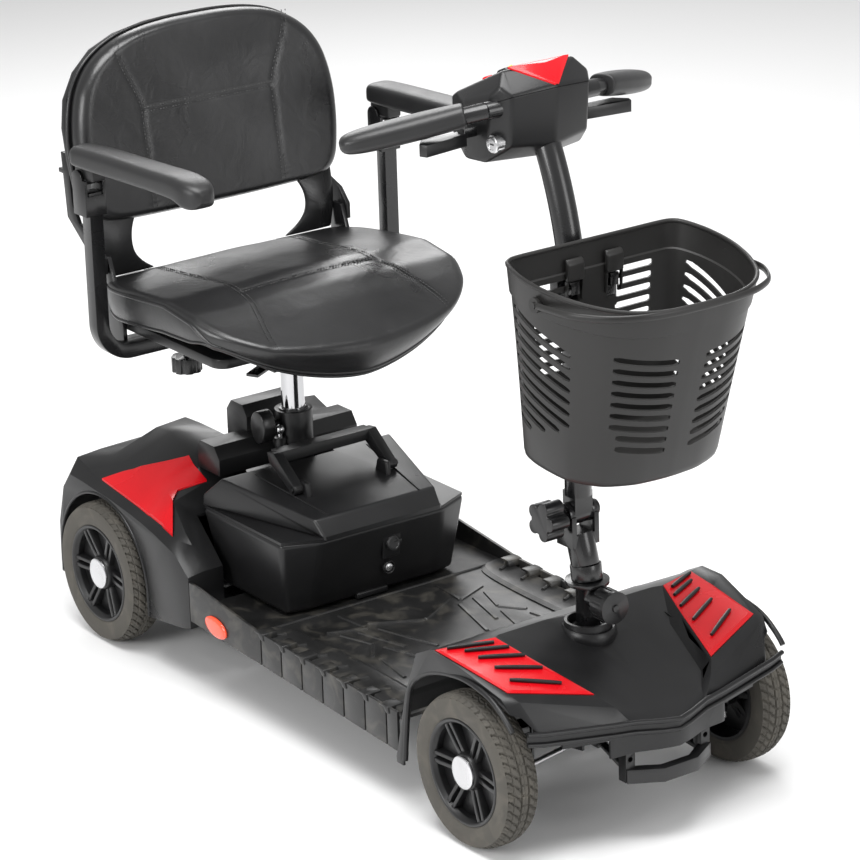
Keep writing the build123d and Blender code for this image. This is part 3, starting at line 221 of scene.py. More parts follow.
def bevelled(piece, width, segments=3, angle=20.0, clamp_overlap=False):
    modifier = piece.modifiers.new("bevel", "BEVEL")
    modifier.width = width * MM
    modifier.segments = segments
    modifier.limit_method = "ANGLE"
    modifier.angle_limit = math.radians(angle)
    modifier.use_clamp_overlap = clamp_overlap
    return apply_modifiers(piece)


def thickened(piece, thickness):
    modifier = piece.modifiers.new("wall", "SOLIDIFY")
    modifier.thickness = thickness * MM
    modifier.offset = -1
    modifier.use_even_offset = True
    return apply_modifiers(piece)


def smoothed(piece):
    modifier = piece.modifiers.new("smooth", "SUBSURF")
    modifier.levels = 1
    modifier.render_levels = 1
    return apply_modifiers(piece)


def cut(piece, cutters):
    """Take joined cutters out of a piece."""
    joined = join("cutters", cutters)
    modifier = piece.modifiers.new("cut", "BOOLEAN")
    modifier.object = joined
    modifier.operation = "DIFFERENCE"
    modifier.solver = "EXACT"
    modifier.use_self = True
    apply_modifiers(piece)
    bpy.data.objects.remove(joined)
    return piece


def join(name, pieces):
    """One object from several."""
    whole = bmesh.new()
    for piece in pieces:
        part = piece.data.copy()
        part.transform(piece.matrix_world)
        whole.from_mesh(part)
        bpy.data.meshes.remove(part)
        bpy.data.objects.remove(piece)
    mesh = bpy.data.meshes.new(name)
    whole.to_mesh(mesh)
    whole.free()
    return new_object(name, mesh)


def shaded(piece, angle=34.0):
    piece.data.polygons.foreach_set("use_smooth", [True] * len(piece.data.polygons))
    piece.data.set_sharp_from_angle(angle=math.radians(angle))
    return piece


def dress(piece, material, body, nodes=(), angle=34.0):
    """Give a piece its finish and its body, and hide the CAD nodes that it stands for."""
    piece.data.materials.clear()
    piece.data.materials.append(material)
    shaded(piece, angle)
    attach(piece, body)
    if nodes:
        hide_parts(*nodes)
    return piece


BOX_FACES = [(0, 1, 3, 2), (4, 6, 7, 5), (0, 4, 5, 1), (2, 3, 7, 6), (0, 2, 6, 4), (1, 5, 7, 3)]


def box_piece(name, x0, x1, y0, y1, z0, z1):
    points = [(x, y, z) for x in (x0, x1) for y in (y0, y1) for z in (z0, z1)]
    return mesh_from(name, points, BOX_FACES)


def prism(name, outline, low, high):
    """Prism across the width, from an outline of (x, z) points."""
    points = [(x, y, z) for y in (low, high) for x, z in outline]
    count = len(outline)
    faces = [tuple(range(count)), tuple(range(2 * count - 1, count - 1, -1))]
    for index in range(count):
        after = (index + 1) % count
        faces.append((index, after, after + count, index + count))
    return mesh_from(name, points, faces)


def grid_faces(rows, columns, closed=False):
    faces = []
    last = columns if closed else columns - 1
    for row in range(rows - 1):
        for column in range(last):
            after = (column + 1) % columns
            a = row * columns
            faces.append((a + column, a + after, a + columns + after, a + columns + column))
    return faces


def rings(name, levels, cap_start=True, cap_end=True):
    """Skin over closed rings with equal numbers of points."""
    count = len(levels[0])
    points = [point for level in levels for point in level]
    faces = grid_faces(len(levels), count, True)
    if cap_start:
        faces.append(tuple(range(count)))
    if cap_end:
        faces.append(tuple(range(len(points) - 1, len(points) - count - 1, -1)))
    return mesh_from(name, points, faces)


def sheet(name, rows):
    """Open skin over rows with equal numbers of points."""
    points = [point for row in rows for point in row]
    return mesh_from(name, points, grid_faces(len(rows), len(rows[0])))


def tube(name, path, radius, sides=10, closed=False):
    """Round tube along a path of points in millimetres; radius may be a list."""
    path = [Vector(point) for point in path]
    count = len(path)
    levels = []
    across = None
    for index, point in enumerate(path):
        before = path[index - 1] if index or closed else point
        after = path[(index + 1) % count] if index < count - 1 or closed else point
        along = (after - before).normalized()
        if across is None:
            across = along.orthogonal().normalized()
        across = (across - along * across.dot(along)).normalized()
        up = along.cross(across)
        size = radius[index] if isinstance(radius, list) else radius
        ring = []
        for angle in circle(sides):
            ring.append(point + (across * math.cos(angle) + up * math.sin(angle)) * size)
        levels.append(ring)
    if closed:
        levels.append(levels[0])
    return rings(name, levels, not closed, not closed)


def cross_tube(name, x, z, sign, near, far, radius, sides):
    """Straight round pin across the width, on the left (1) or the right (-1)."""
    return tube(name, [(x, sign * near, z), (x, sign * far, z)], radius, sides)


def spline(points, steps, closed=False):
    """Smooth line through points of any dimension (Catmull-Rom)."""
    count = len(points)
    out = []
    spans = count if closed else count - 1
    for index in range(spans):
        if closed:
            a, b, c, d = (points[(index + k) % count] for k in (-1, 0, 1, 2))
        else:
            b, c = points[index], points[index + 1]
            a = points[index - 1] if index else tuple(2 * p - q for p, q in zip(b, c))
            d = points[index + 2] if index + 2 < count else tuple(2 * q - p for p, q in zip(b, c))
        for step in range(steps):
            t = step / steps
            out.append(tuple(0.5 * (2 * q + (r - p) * t + (2 * p - 5 * q + 4 * r - s) * t * t
                                    + (3 * q - p - 3 * r + s) * t ** 3) for p, q, r, s in zip(a, b, c, d)))
    if not closed:
        out.append(tuple(points[-1]))
    return out


def mirrored(outline):
    return outline + [(x, -y) for x, y in reversed(outline)]


def convex(name, limits, centre, facets):
    """Block cut by planes of three points on the +Y side, repeated on the -Y side."""
    x0, x1, half, z0, z1 = limits
    piece = box_piece(name, x0, x1, -half, half, z0, z1)
    work = bmesh.new()
    work.from_mesh(piece.data)
    for facet in facets:
        for sign in (1, -1):
            a, b, c = [at(x, y * sign, z) for x, y, z in facet]
            normal = (b - a).cross(c - a).normalized()
            if normal.dot(at(*centre) - a) > 0:
                normal = -normal
            everything = work.verts[:] + work.edges[:] + work.faces[:]
            bmesh.ops.bisect_plane(work, geom=everything, plane_co=a, plane_no=normal, clear_outer=True,
                                   dist=1e-7)
            holes = [edge for edge in work.edges if len(edge.link_faces) == 1]
            bmesh.ops.holes_fill(work, edges=holes)
    bmesh.ops.remove_doubles(work, verts=work.verts, dist=1e-5)
    bmesh.ops.dissolve_limit(work, angle_limit=math.radians(0.6), verts=work.verts, edges=work.edges)
    bmesh.ops.recalc_face_normals(work, faces=work.faces)
    work.to_mesh(piece.data)
    work.free()
    return piece


def cad_copy(node, keep=None):
    """Copy of a CAD node's mesh with its flat faces made whole; keep(x, y, z in mm) chooses its vertices."""
    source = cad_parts[node]
    mesh = source.data.copy()
    work = bmesh.new()
    work.from_mesh(mesh)
    bmesh.ops.remove_doubles(work, verts=work.verts, dist=2e-5)
    if keep is not None:
        gone = [v for v in work.verts if not keep((v.co.x - REAR_AXLE_X) / MM, v.co.y / MM, v.co.z / MM)]
        bmesh.ops.delete(work, geom=gone, context="VERTS")
    bmesh.ops.dissolve_limit(work, angle_limit=math.radians(0.5), verts=work.verts, edges=work.edges)
    work.to_mesh(mesh)
    work.free()
    mesh.materials.clear()
    return new_object(node + "_shape", mesh)


def softened(node, material, body, width):
    """CAD node with rounded edges."""
    piece = bevelled(cad_copy(node), width, 2, 32.0, True)
    return dress(piece, material, body, (node,), 40.0)


def paint_node(node, material):
    """Give a CAD node that stays in view its finish."""
    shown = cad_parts[node]
    shown.data.materials.clear()
    shown.data.materials.append(material)


# ---------------------------------------------------------------- camera, light and floor
def set_camera():
    right = Vector((0.58507, 0.81043, -0.02986))
    up = Vector((-0.25753, 0.22058, 0.94076))
    forward = Vector((-0.76900, 0.54272, -0.33777))
    data = bpy.data.cameras.new("camera")
    data.sensor_width = 36.0
    data.lens = 166.18
    data.clip_end = 100.0
    camera = bpy.data.objects.new("camera", data)
    bpy.context.scene.collection.objects.link(camera)
    turn = Matrix((right, up, -forward)).transposed().to_4x4()
    camera.matrix_world = Matrix.Translation(at(4461.3, -2799.2, 2137.2)) @ turn
    bpy.context.scene.camera = camera


def area_light(name, place, target, size, power):
    data = bpy.data.lights.new(name, "AREA")
    data.shape = "RECTANGLE"
    data.size = size[0]
    data.size_y = size[1]
    data.energy = power
    light = bpy.data.objects.new(name, data)
    bpy.context.scene.collection.objects.link(light)
    light.location = place
    light.rotation_euler = (Vector(target) - Vector(place)).to_track_quat("-Z", "Y").to_euler()


def set_stage():
    world = bpy.data.worlds.new("studio")
    bpy.context.scene.world = world
    world.use_nodes = True
    world.node_tree.nodes["Background"].inputs["Color"].default_value = (1.0, 1.0, 1.0, 1.0)
    world.node_tree.nodes["Background"].inputs["Strength"].default_value = 0.56
    area_light("top_softbox", (0.6, -0.4, 3.2), (0.0, 0.0, 0.4), (2.2, 1.8), 120.0)
    area_light("side_softbox", (0.4, -3.4, 1.7), (0.0, 0.0, 0.5), (1.5, 1.3), 60.0)
    area_light("front_softbox", (3.6, 0.9, 1.5), (0.2, 0.0, 0.5), (1.4, 1.8), 34.0)
    area_light("back_softbox", (-2.8, 1.6, 2.2), (0.0, 0.0, 0.5), (1.6, 1.6), 40.0)
    reach = 20
    corners = [(-reach, -reach, 0), (reach, -reach, 0), (reach, reach, 0), (-reach, reach, 0)]
    floor = mesh_from("floor", corners, [(0, 1, 2, 3)], True)
    pale = finish("pale_floor", (0.86, 0.86, 0.86), 0.7, 0.05, 0.01, patch=0.8, grain=60, grain_depth=0.01)
    floor.data.materials.append(pale)
    bpy.context.scene.view_settings.view_transform = "Standard"


set_camera()
set_stage()


# ---------------------------------------------------------------- wheels
WHEEL_R = 100.0
TREAD_STEPS = 432
BLOCKS = 48
TYRE_SECTION = [(-20.5, 66), (-21.5, 70), (-23, 72), (-23, 74), (-24, 78), (-24, 84), (-23.8, 90),
                (-22.6, 94.5)]
TREAD_ACROSS = [-21, -19.6, -18, -16.6, -15.4, -14.2, -12.6, -10.6, -8.6, -6.9, -5.9, -4.9, -3.9, -2.2,
                -1.4, 0]


def tread_depth(across, angle):
    """How far a point of the tread lies under the tyre's surface."""
    reach = abs(across)
    depth = 0.0
    if 4.4 < reach < 6.4:
        depth = 2.4
    if reach < 0.8:
        depth = 1.0
    if 14.5 < reach < 16.0:
        depth = 1.3
    if reach >= 6.0:
        bend = 0.55 * ((reach - 6.0) / 18.0) ** 0.8 * (1 if across > 0 else -1)
        phase = (angle * BLOCKS / math.tau + bend * 2.4 + (0.5 if across > 0 else 0.0)) % 1.0
        if phase < 0.2:
            depth = 2.6
        elif reach > 17 and 0.5 < phase < 0.6:
            depth = 1.4
    elif 2.0 < reach < 4.4 and (angle * BLOCKS / math.tau) % 1.0 < 0.14:
        depth = 1.6
    return depth


def wheel_faces(steps, count):
    """Faces over closed rings of count points that go all the way round the axle."""
    faces = []
    for step in range(steps):
        after = (step + 1) % steps
        for k in range(count):
            beside = (k + 1) % count
            faces.append((step * count + k, after * count + k, after * count + beside, step * count + beside))
    return faces


def tyre_mesh():
    across_points = TREAD_ACROSS + [-a for a in reversed(TREAD_ACROSS[:-1])]
    points = []
    for angle in circle(TREAD_STEPS):
        ring = list(TYRE_SECTION)
        for across in across_points:
            crown = WHEEL_R - 0.3 - 4.6 * (abs(across) / 21.0) ** 3.2
            ring.append((across, crown - tread_depth(across, angle)))
        ring += [(-a, r) for a, r in reversed(TYRE_SECTION)]
        points += [Vector((r * math.cos(angle), a, r * math.sin(angle))) * MM for a, r in ring]
    mesh = bpy.data.meshes.new("tyre")
    mesh.from_pydata(points, [], wheel_faces(TREAD_STEPS, len(ring)))
    mesh.update()
    return mesh


def turned(name, section, steps=96):
    """Body turned about the wheel axle from a closed section of (across, radius) points."""
    points = []
    for angle in circle(steps):
        points += [(r * math.cos(angle) * MM, a * MM, r * math.sin(angle) * MM) for a, r in section]
    return mesh_from(name, points, wheel_faces(steps, len(section)), True)


SPOKE_STATIONS = [(20, 6.5, 13, -6), (34, 4.2, 15.5, 1), (52, 4.0, 18, 6), (67, 5.2, 19.5, 6)]


def spoke(angle, lean):
    """One tapered spoke; lean turns its outer end sideways."""
    points = []
    for radius, half_width, face, back in SPOKE_STATIONS:
        turn = math.radians(angle + lean * (radius - 20) / 47)
        along = Vector((math.cos(turn), 0, math.sin(turn)))
        sideways = Vector((-math.sin(turn), 0, math.cos(turn)))
        for s, across in ((-1, back), (1, back), (0.62, face), (-0.62, face)):
            points.append((along * radius + sideways * half_width * s + Vector((0, across, 0))) * MM)
    faces = grid_faces(4, 4, True) + [(0, 1, 2, 3), (15, 14, 13, 12)]
    return mesh_from("spoke", points, faces, True)


def rim_piece():
    """Wheel centre seen from its outer (+Y) side."""
    barrel = [(-22, 69), (-22, 64), (10, 61), (16, 61), (19.5, 63.5), (21.5, 64.5), (23, 67), (22, 69.5),
              (16, 69.2)]
    parts = [turned("barrel", barrel)]
    parts.append(turned("web", [(4, 62), (7, 62), (7, 24), (4, 24)]))
    parts.append(turned("hub", [(-18, 8.2), (-18, 25), (12, 25), (17, 23.5), (19.5, 22.4), (19.5, 8.2)]))
    for index in range(6):
        parts.append(spoke(index * 60 + 11, -7))
        parts.append(spoke(index * 60 - 11, 7))
    return bevelled(join("rim_parts", parts), 1.0, 2, 30)


def hub_cap():
    section = [(19, 0.01), (19, 20.5), (20.5, 21.6), (22.2, 21.2), (23.0, 19.6), (23.2, 17), (22.6, 13),
               (22.4, 0.01)]
    return turned("cap", section, 72)


TYRE_MESH = tyre_mesh()
RIM_PIECE = rim_piece()
CAP_PIECE = hub_cap()
for end in ("front", "rear"):
    for side, sign in (("left", 1), ("right", -1)):
        low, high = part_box(f"{end}_{side}_tyre")
        centre = (low + high) / 2
        body = f"{end}_{side}_wheel"
        turn = Matrix.Rotation(0 if sign > 0 else math.pi, 4, "Z")
        for source, label, paint, slot, replaced in (
            (TYRE_MESH, "tyre", TYRE, "tyre_grey", f"{end}_{side}_tyre"),
            (RIM_PIECE.data, "rim", WHEEL, "wheel_black", f"{end}_{side}_rim"),
            (CAP_PIECE.data, "hub_cap", STEEL, "steel_bright", None),
        ):
            made = new_object(f"{end}_{side}_{label}_shape", source.copy())
            made.data.transform(Matrix.Translation(centre) @ turn)
            dress(made, paint, body, (replaced,) if replaced else (), 38.0)
bpy.data.objects.remove(RIM_PIECE)
bpy.data.objects.remove(CAP_PIECE)


# ---------------------------------------------------------------- front cowl
ARCH = [(719, 40), (722, 80), (735, 166), (756, 192), (786, 208), (820, 217), (859, 220), (905, 212),
        (938, 192), (956, 172), (966, 157), (972, 140)]


def cowl_fittings():
    """Arch flanges, inner wheel-well walls, front ridges with their band, and the steering collar."""
    parts = []
    wall = [(726, 124), (742, 186), (790, 224), (860, 216), (930, 190), (958, 160), (958, 134), (900, 124)]
    for sign in (1, -1):
        flange = [(x, sign * 213, z) for x, z in spline(ARCH, 4) if z > 66 and (x < 900 or z > 178)]
        parts.append(tube("arch_flange", flange, 3.6, 10))
        parts.append(prism("well_wall", wall, *span(sign, 112, 115)))
    edge = [(962, 200, 180), (968, 178, 177), (985, 84, 168), (988, 56, 165), (1000, 22, 162), (1006, 0, 161)]
    edge += [(x, -y, z) for x, y, z in reversed(edge[:-1])]
    for drop, radius in ((0, 3.2), (14, 3.0)):
        parts.append(tube("front_ridge", [(x - drop * 0.1, y, z - drop) for x, y, z in edge], radius, 10))
    band = [[(x - 1, y, z), (x - 2.4, y, z - 14)] for x, y, z in edge]
    parts.append(thickened(sheet("front_band", band), 2.5))
    levels = []
    for radius, height in ((31, 208), (36, 219), (35, 226), (32.5, 229.5), (30, 229), (28, 224), (28, 208)):
        levels.append([(824 + radius * 1.06 * math.cos(a), radius * math.sin(a),
                        height - 0.1 * radius * math.cos(a)) for a in circle(64)])
    parts.append(rings("collar", levels, False, False))
    return dress(join("front_cowl_fittings", parts), SHELL, "chassis", (), 40.0)


PANEL_EDGES = [((778, 203, 231.5), (809, 133, 239.5)), ((826, 200.5, 227.2), (860, 118, 224.6)),
               ((914, 193.5, 217.4), (953, 92, 200.2))]


def panel_point(s, t, lift):
    """Point on the fender panel: s from its rear edge forwards, t from its outer edge inwards."""
    split = 0.36
    if s < split:
        near, far, share = PANEL_EDGES[0], PANEL_EDGES[1], s / split
    else:
        near, far, share = PANEL_EDGES[1], PANEL_EDGES[2], (s - split) / (1 - split)
    outer = Vector(near[0]).lerp(Vector(far[0]), share)
    inner = Vector(near[1]).lerp(Vector(far[1]), share)
    return outer.lerp(inner, t) + Vector((0.1, 0.05, 1.0)) * lift


def fender_panel(sign):
    """Thin raised panel over the cowl's shoulder, with eased edges."""
    steps = 22
    rows = []
    for s in [k / steps for k in range(steps + 1)]:
        row = []
        for t in [k / steps for k in range(steps + 1)]:
            edge = min(s, t, 1 - s, 1 - t)
            p = panel_point(s, t, 1.0 + smooth_step(0, 0.03, edge))
            row.append((p.x, p.y * sign, p.z))
        rows.append(row)
    return thickened(sheet("panel", rows), 2.4)


FENDER_RIBS = [((0.05, 0.14), (0.09, 0.84)), ((0.15, 0.30), (0.19, 0.93)), ((0.30, 0.33), (0.34, 0.95)),
               ((0.51, 0.32), (0.56, 0.90)), ((0.77, 0.24), (0.84, 0.80))]


def fender_rib(start, end, sign):
    """Slim raised rib, a little thinner at its ends."""
    path, sizes = [], []
    steps = 18
    for step in range(steps + 1):
        share = step / steps
        s = start[0] + (end[0] - start[0]) * share
        t = start[1] + (end[1] - start[1]) * share
        p = panel_point(s, t, 4.4)
        path.append((p.x, p.y * sign, p.z))
        sizes.append(1.2 + 1.6 * math.sin(math.pi * clamp(share, 0.02, 0.98)) ** 0.2)
    return tube("rib", path, sizes, 8)


cowl_fittings()
ribs, reds = [], []
for sign in (1, -1):
    reds.append(fender_panel(sign))
    ribs += [fender_rib(start, end, sign) for start, end in FENDER_RIBS]
dress(join("cowl_ribs_shape", ribs), SHELL, "chassis", ("cowl_ribs",), 50.0)
rear_red = bevelled(cad_copy("red_panels", lambda x, y, z: x < 400), 0.7, 2, 30, True)
dress(join("red_panels_shape", reds + [rear_red]), RED, "chassis", ("red_panels",), 26.0)


# ---------------------------------------------------------------- rear shell
REAR_WELL_R = 113.5


def rear_fittings():
    """Wheel-well linings and lips, the walls of the battery bay, a row of slats and two tail blocks."""
    parts = []
    half_turn = [math.pi * k / 48 for k in range(49)]
    arch = [(REAR_WELL_R * math.cos(a), WHEEL_R + REAR_WELL_R * math.sin(a)) for a in half_turn]
    arch = [(REAR_WELL_R, 70)] + arch + [(-REAR_WELL_R, 70)]
    shaft_hole = [(20 * math.cos(a), WHEEL_R + 20 * math.sin(a)) for a in circle(72)]
    bay_side = [(158, 90), (218, 90), (218, 160), (190, 188), (158, 205)]
    for sign in (1, -1):
        rows = [[(x, sign * y, z) for x, z in arch] for y in (163, 211)]
        parts.append(thickened(sheet("lining", rows), 2.0))
        parts.append(tube("lip", [(x, sign * 211.5, z) for x, z in arch], 2.4, 8))
        wall = prism("well_wall", arch, *span(sign, 163, 165.5))
        parts.append(cut(wall, [prism("shaft_hole", shaft_hole, *span(sign, 150, 180))]))
        parts.append(prism("bay_side", bay_side, *span(sign, 156, 159)))
    for sign in (-1, 1):
        parts.append(box_piece("bay_back", 158, 161, *span(sign, 43, 156), 110, 214))
    for index in range(5):
        parts.append(box_piece("slat", 6 + index * 11, 11 + index * 11, 66, 100, 289.5, 293.5))
    for sign in (-1, 1):
        parts.append(bevelled(box_piece("tail", -121, -116, *span(sign, 96, 150), 150, 178), 2.0))
    return dress(join("rear_shell_fittings", parts), SHELL, "chassis", (), 34.0)


rear_fittings()


# ---------------------------------------------------------------- deck
DECK_LINES = [
    [(386, 82), (446, 76), (424, 128)], [(470, 0), (432, 68)], [(457, 66), (555, 40)], [(451, 94), (530, 74)],
    [(444, 118), (495, 102), (528, 126)], [(512, 96), (566, 82)], [(541, 122), (612, 134)],
    [(610, 0), (572, 60), (588, 74)], [(600, 62), (690, 38)], [(600, 94), (680, 76)], [(628, 112), (690, 98)],
]
DECK_BORDER = [(366, 186), (374, 164), (404, 154), (470, 149), (560, 148), (640, 150), (700, 154)]


def ridge(a, b, width, low, high):
    """Raised strip with sloping sides between two plan points."""
    along = Vector((b[0] - a[0], b[1] - a[1], 0)).normalized()
    side = Vector((-along.y, along.x, 0))
    points = []
    for height, half, trim_end in ((low, width / 2 + 0.8, 0.0), (high, width / 2 - 0.4, 1.0)):
        for end, sign in ((a, 1), (b, -1)):
            base = Vector((end[0], end[1], height)) + along * trim_end * sign
            points += [base + side * half, base - side * half]
    return mesh_from("ridge", points, BOX_FACES)


def deck():
    parts = [bevelled(cad_copy("deck_cover"), 1.2, 2, 35, True)]
    for line in DECK_LINES:
        for sign in (1, -1):
            for a, b in zip(line[:-1], line[1:]):
                parts.append(ridge((a[0], a[1] * sign), (b[0], b[1] * sign), 5.0, 120.6, 122.8))
    for sign in (1, -1):
        rows = []
        for x, y in spline(DECK_BORDER, 6):
            y *= sign
            rows.append([(x, y, 120.5), (x, y, 123.0), (x, y + sign * 7, 125.5), (x, sign * 200, 125.8),
                         (x, sign * 204, 120.5)])
        parts.append(sheet("border", rows))
        for index in range(7):
            x = 395 + 47.5 * index
            top = 133 - (x - 399) * 7 / 305
            lug = [(x + 2, top - 9), (x + 8, top - 8), (x + 6, top + 0.5), (x - 2, top + 1.5),
                   (x - 12, top + 1.2), (x - 14, top - 1.5), (x - 4, top - 2)]
            parts.append(bevelled(prism("lug", lug, *span(sign, 190, 213.5)), 1.0, 2))
            nub = spline([(x - 8, sign * 196), (x + 2, sign * 187), (x + 7, sign * 176)], 4)
            parts.append(tube("nub", [(a, b, 125.6) for a, b in nub], 2.8, 8))
    parts.append(tube("step", [(367, y, 121.2) for y in range(-190, 191, 10)], 2.2, 8))
    return dress(join("deck_cover_shape", parts), DECK, "chassis", ("deck_cover",), 36.0)


REFLECTOR_PROFILE = [(1.0, 212.3), (1.0, 214.5), (0.93, 215.8), (0.7, 216.6), (0.35, 217.0), (0.02, 217.1)]


def reflectors():
    """Domed oval reflectors, leaning a little."""
    parts = []
    for sign in (1, -1):
        levels = []
        for size, out in REFLECTOR_PROFILE:
            levels.append([(288 + 25 * size * math.cos(a) + 2.5 * size * math.sin(a), sign * out,
                            108 + 13 * size * math.sin(a) - 4 * size * math.cos(a)) for a in circle(48)])
        parts.append(rings("reflector", levels))
    whole = join("side_reflectors_shape", parts)
    return dress(whole, ORANGE, "chassis", ("side_reflectors",), 40.0)


deck()
reflectors()


# ---------------------------------------------------------------- battery box
LID_FACETS = [
    [(168, 150, 248), (200, 140, 277), (361, 99, 255)],
    [(168, 0, 248), (200, 0, 277), (200, 50, 277)],
    [(200, 0, 277), (361, 0, 255), (361, 50, 255)],
    [(361, 0, 256), (381, 0, 234), (381, 50, 234)],
    [(354, 150, 232), (381, 100, 232), (381, 100, 250)],
]


def notched(piece):
    """Take the seat post's notch out of a piece of the battery box."""
    return cut(piece, [box_piece("notch", 150, 206, -43, 43, 100, 300)])


def battery_lid():
    lid = convex("battery_lid_skin", (168, 382, 151, 231.8, 277), (270, 0, 240), LID_FACETS)
    parts = [notched(bevelled(lid, 3.5, 4, 9.0))]
    ear = [(274, 260), (306, 254), (301, 281), (281, 282)]
    for sign in (1, -1):
        parts.append(bevelled(prism("ear", ear, *span(sign, 61, 69)), 2.0, 3))
        parts.append(cross_tube("pin", 290, 273, sign, 66, 87, 4.0, 24))
        crease = [(212, sign * 92, 275.0), (280, sign * 84, 266.6), (360, sign * 74, 255.0)]
        parts.append(tube("rib", crease, 1.2, 8))
    whole = join("battery_lid_shape", parts)
    return dress(whole, SHELL, "battery_box", ("battery_lid",), 34.0)


def battery_case():
    low = mirrored([(187, 137), (344, 137), (351, 100)])
    high = mirrored([(168, 151), (357, 151), (381, 100)])
    skin = rings("battery_case_skin", [[(x, y, 123) for x, y in low], [(x, y, 229.6) for x, y in high]])
    case = notched(bevelled(skin, 7.0, 5, 18.0))
    seam = [[(x * 0.985 + 4, y * 0.98, z) for x, y in high] for z in (228.5, 232.5)]
    seam = notched(rings("seam", seam))
    plate = [(369.5, 176), (373, 214), (375.5, 214), (372, 176)]
    plate = bevelled(prism("socket_plate", plate, 3, 31), 0.8)
    foot = bevelled(box_piece("latch", 340, 357, -30, 20, 121.5, 130), 2.0)
    whole = join("battery_case_shape", [case, seam, plate, foot])
    return dress(whole, SHELL, "battery_box", ("battery_case",), 34.0)


def facing_front(name, y, z, profile, steps, lean=0.0, capped=True):
    """Round piece about a forward axis, from (radius, x) points; lean tips its rings back."""
    levels = []
    for radius, x in profile:
        levels.append([(x - lean * radius * math.sin(a), y + radius * math.cos(a), z + radius * math.sin(a))
                       for a in circle(steps)])
    return rings(name, levels, capped, capped)


def charge_fittings():
    """Charging-port cover, breaker button and its bezel."""
    profile = [(10.2, 374.2), (10.4, 377.2), (9.6, 378.6), (7.5, 379.0), (7.0, 378.2), (0.1, 378.2)]
    lug = bevelled(box_piece("lug", 375.8, 378.0, 17, 31, 195, 201), 0.6)
    cap = join("charge_cap_shape", [facing_front("cap", 17, 198, profile, 48, 0.25), lug])
    dress(cap, SHELL, "charge_cap", ("charge_cap",), 36.0)
    profile = [(6.9, 352), (6.9, 363.5), (6.4, 366.5), (4.8, 368.2), (2.5, 369.0), (0.1, 369.2)]
    button = facing_front("breaker_button_shape", 16, 160, profile, 40)
    dress(button, STEEL, "breaker_button", ("breaker_button",), 40.0)
    profile = [(9.6, 362.5), (9.6, 367), (8.6, 368.2), (7.3, 367), (7.2, 362.5)]
    bezel = facing_front("breaker_bezel", 16, 160, profile, 40, 0.0, False)
    return dress(bezel, KNOB, "battery_box", (), 36.0)


battery_lid()
battery_case()
charge_fittings()


# ---------------------------------------------------------------- seat
SEAT_HALF = [(-22, 0), (-22, 90), (-20, 146), (-4, 172), (28, 196), (70, 210), (140, 214), (220, 214),
             (284, 210), (322, 192), (352, 158), (370, 108), (380, 54), (384, 0)]
SEAT_PLAN = spline(SEAT_HALF + [(x, -y) for x, y in reversed(SEAT_HALF[1:-1])], 8, True)
SEAT_TOP = [(-24, 512), (20, 527), (70, 532), (120, 538), (200, 545), (262, 537), (300, 524), (330, 511),
            (364, 494), (384, 482)]
SEAT_SIDE = [(-24, 506), (20, 519), (70, 525), (120, 530), (200, 537), (262, 528), (300, 508)]
SEAT_BASE = [(-24, 484), (70, 486), (190, 499), (262, 501)]
SEAT_MIDDLE_X = 150.0
CROSS_SEAM_X = 224
SEAM_GAP = 3.2
THREAD_LIFT = 0.35
STITCH_PITCH = 5.0


def along_line(table, x):
    """Linear reading of a table of (x, value)."""
    if x <= table[0][0]:
        return table[0][1]
    for (a, low), (b, high) in zip(table[:-1], table[1:]):
        if x <= b:
            return low + (high - low) * (x - a) / (b - a)
    return table[-1][1]


def seam_offset(x):
    """Half distance between the seat's two long seams."""
    return 109 + 30 * smooth_step(215, 365, x)


def seat_surface(x, y):
    """Height of the seat's top panel: its crown, its sewn seams and slight wrinkles."""
    z = along_line(SEAT_TOP, x - 6) * 0.3 + along_line(SEAT_TOP, x) * 0.4 + along_line(SEAT_TOP, x + 6) * 0.3
    crown = 3.5 * math.cos(clamp(y / 108, -1, 1) * math.pi / 2)
    z += crown * smooth_step(-24, 40, x) * (1 - smooth_step(300, 384, x))
    z -= 1.6 * math.exp(-((abs(y) - seam_offset(x)) / 2.2) ** 2)
    if abs(y) < seam_offset(x):
        z -= 1.7 * math.exp(-((x - CROSS_SEAM_X) / 3.0) ** 2)
    z += 0.5 * math.sin(y / 17.0 + x / 60.0) * math.sin(x / 23.0)
    return z


def seat_rim(x, y):
    """Where the top panel ends: (inward share, height) of the piping."""
    front = smooth_step(262, 372, x)
    lip_z = 441 + 46 * (abs(y) / 190) ** 1.7
    return 0.13 * front, along_line(SEAT_SIDE, x) * (1 - front) + lip_z * front


def inward(x, share):
    """Forward place drawn in towards the middle of the seat."""
    return SEAT_MIDDLE_X + (x - SEAT_MIDDLE_X) * share


def seat_top():
    """Rings of the top panel, from its middle out."""
    steps = 46
    levels = []
    for step in range(steps + 1):
        share = 0.02 + 0.93 * (step / steps)
        levels.append([(inward(x, share), y * share, seat_surface(inward(x, share), y * share))
                       for x, y in SEAT_PLAN])
    return levels


def seat_roll(edge, rim):
    """Rings that roll from the top panel's edge over to its piping."""
    steps = 8
    levels = []
    for t in [step / steps for step in range(1, steps + 1)]:
        ring = []
        for (x, y), start, end in zip(SEAT_PLAN, edge, rim):
            knee_x = x * 1.004 - SEAT_MIDDLE_X * 0.004
            knee = Vector((knee_x, y, start[2] * 0.62 + end[2] * 0.38 + 2))
            ring.append(tuple(Vector(start) * (1 - t) ** 2 + knee * 2 * t * (1 - t) + Vector(end) * t * t))
        levels.append(ring)
    return levels


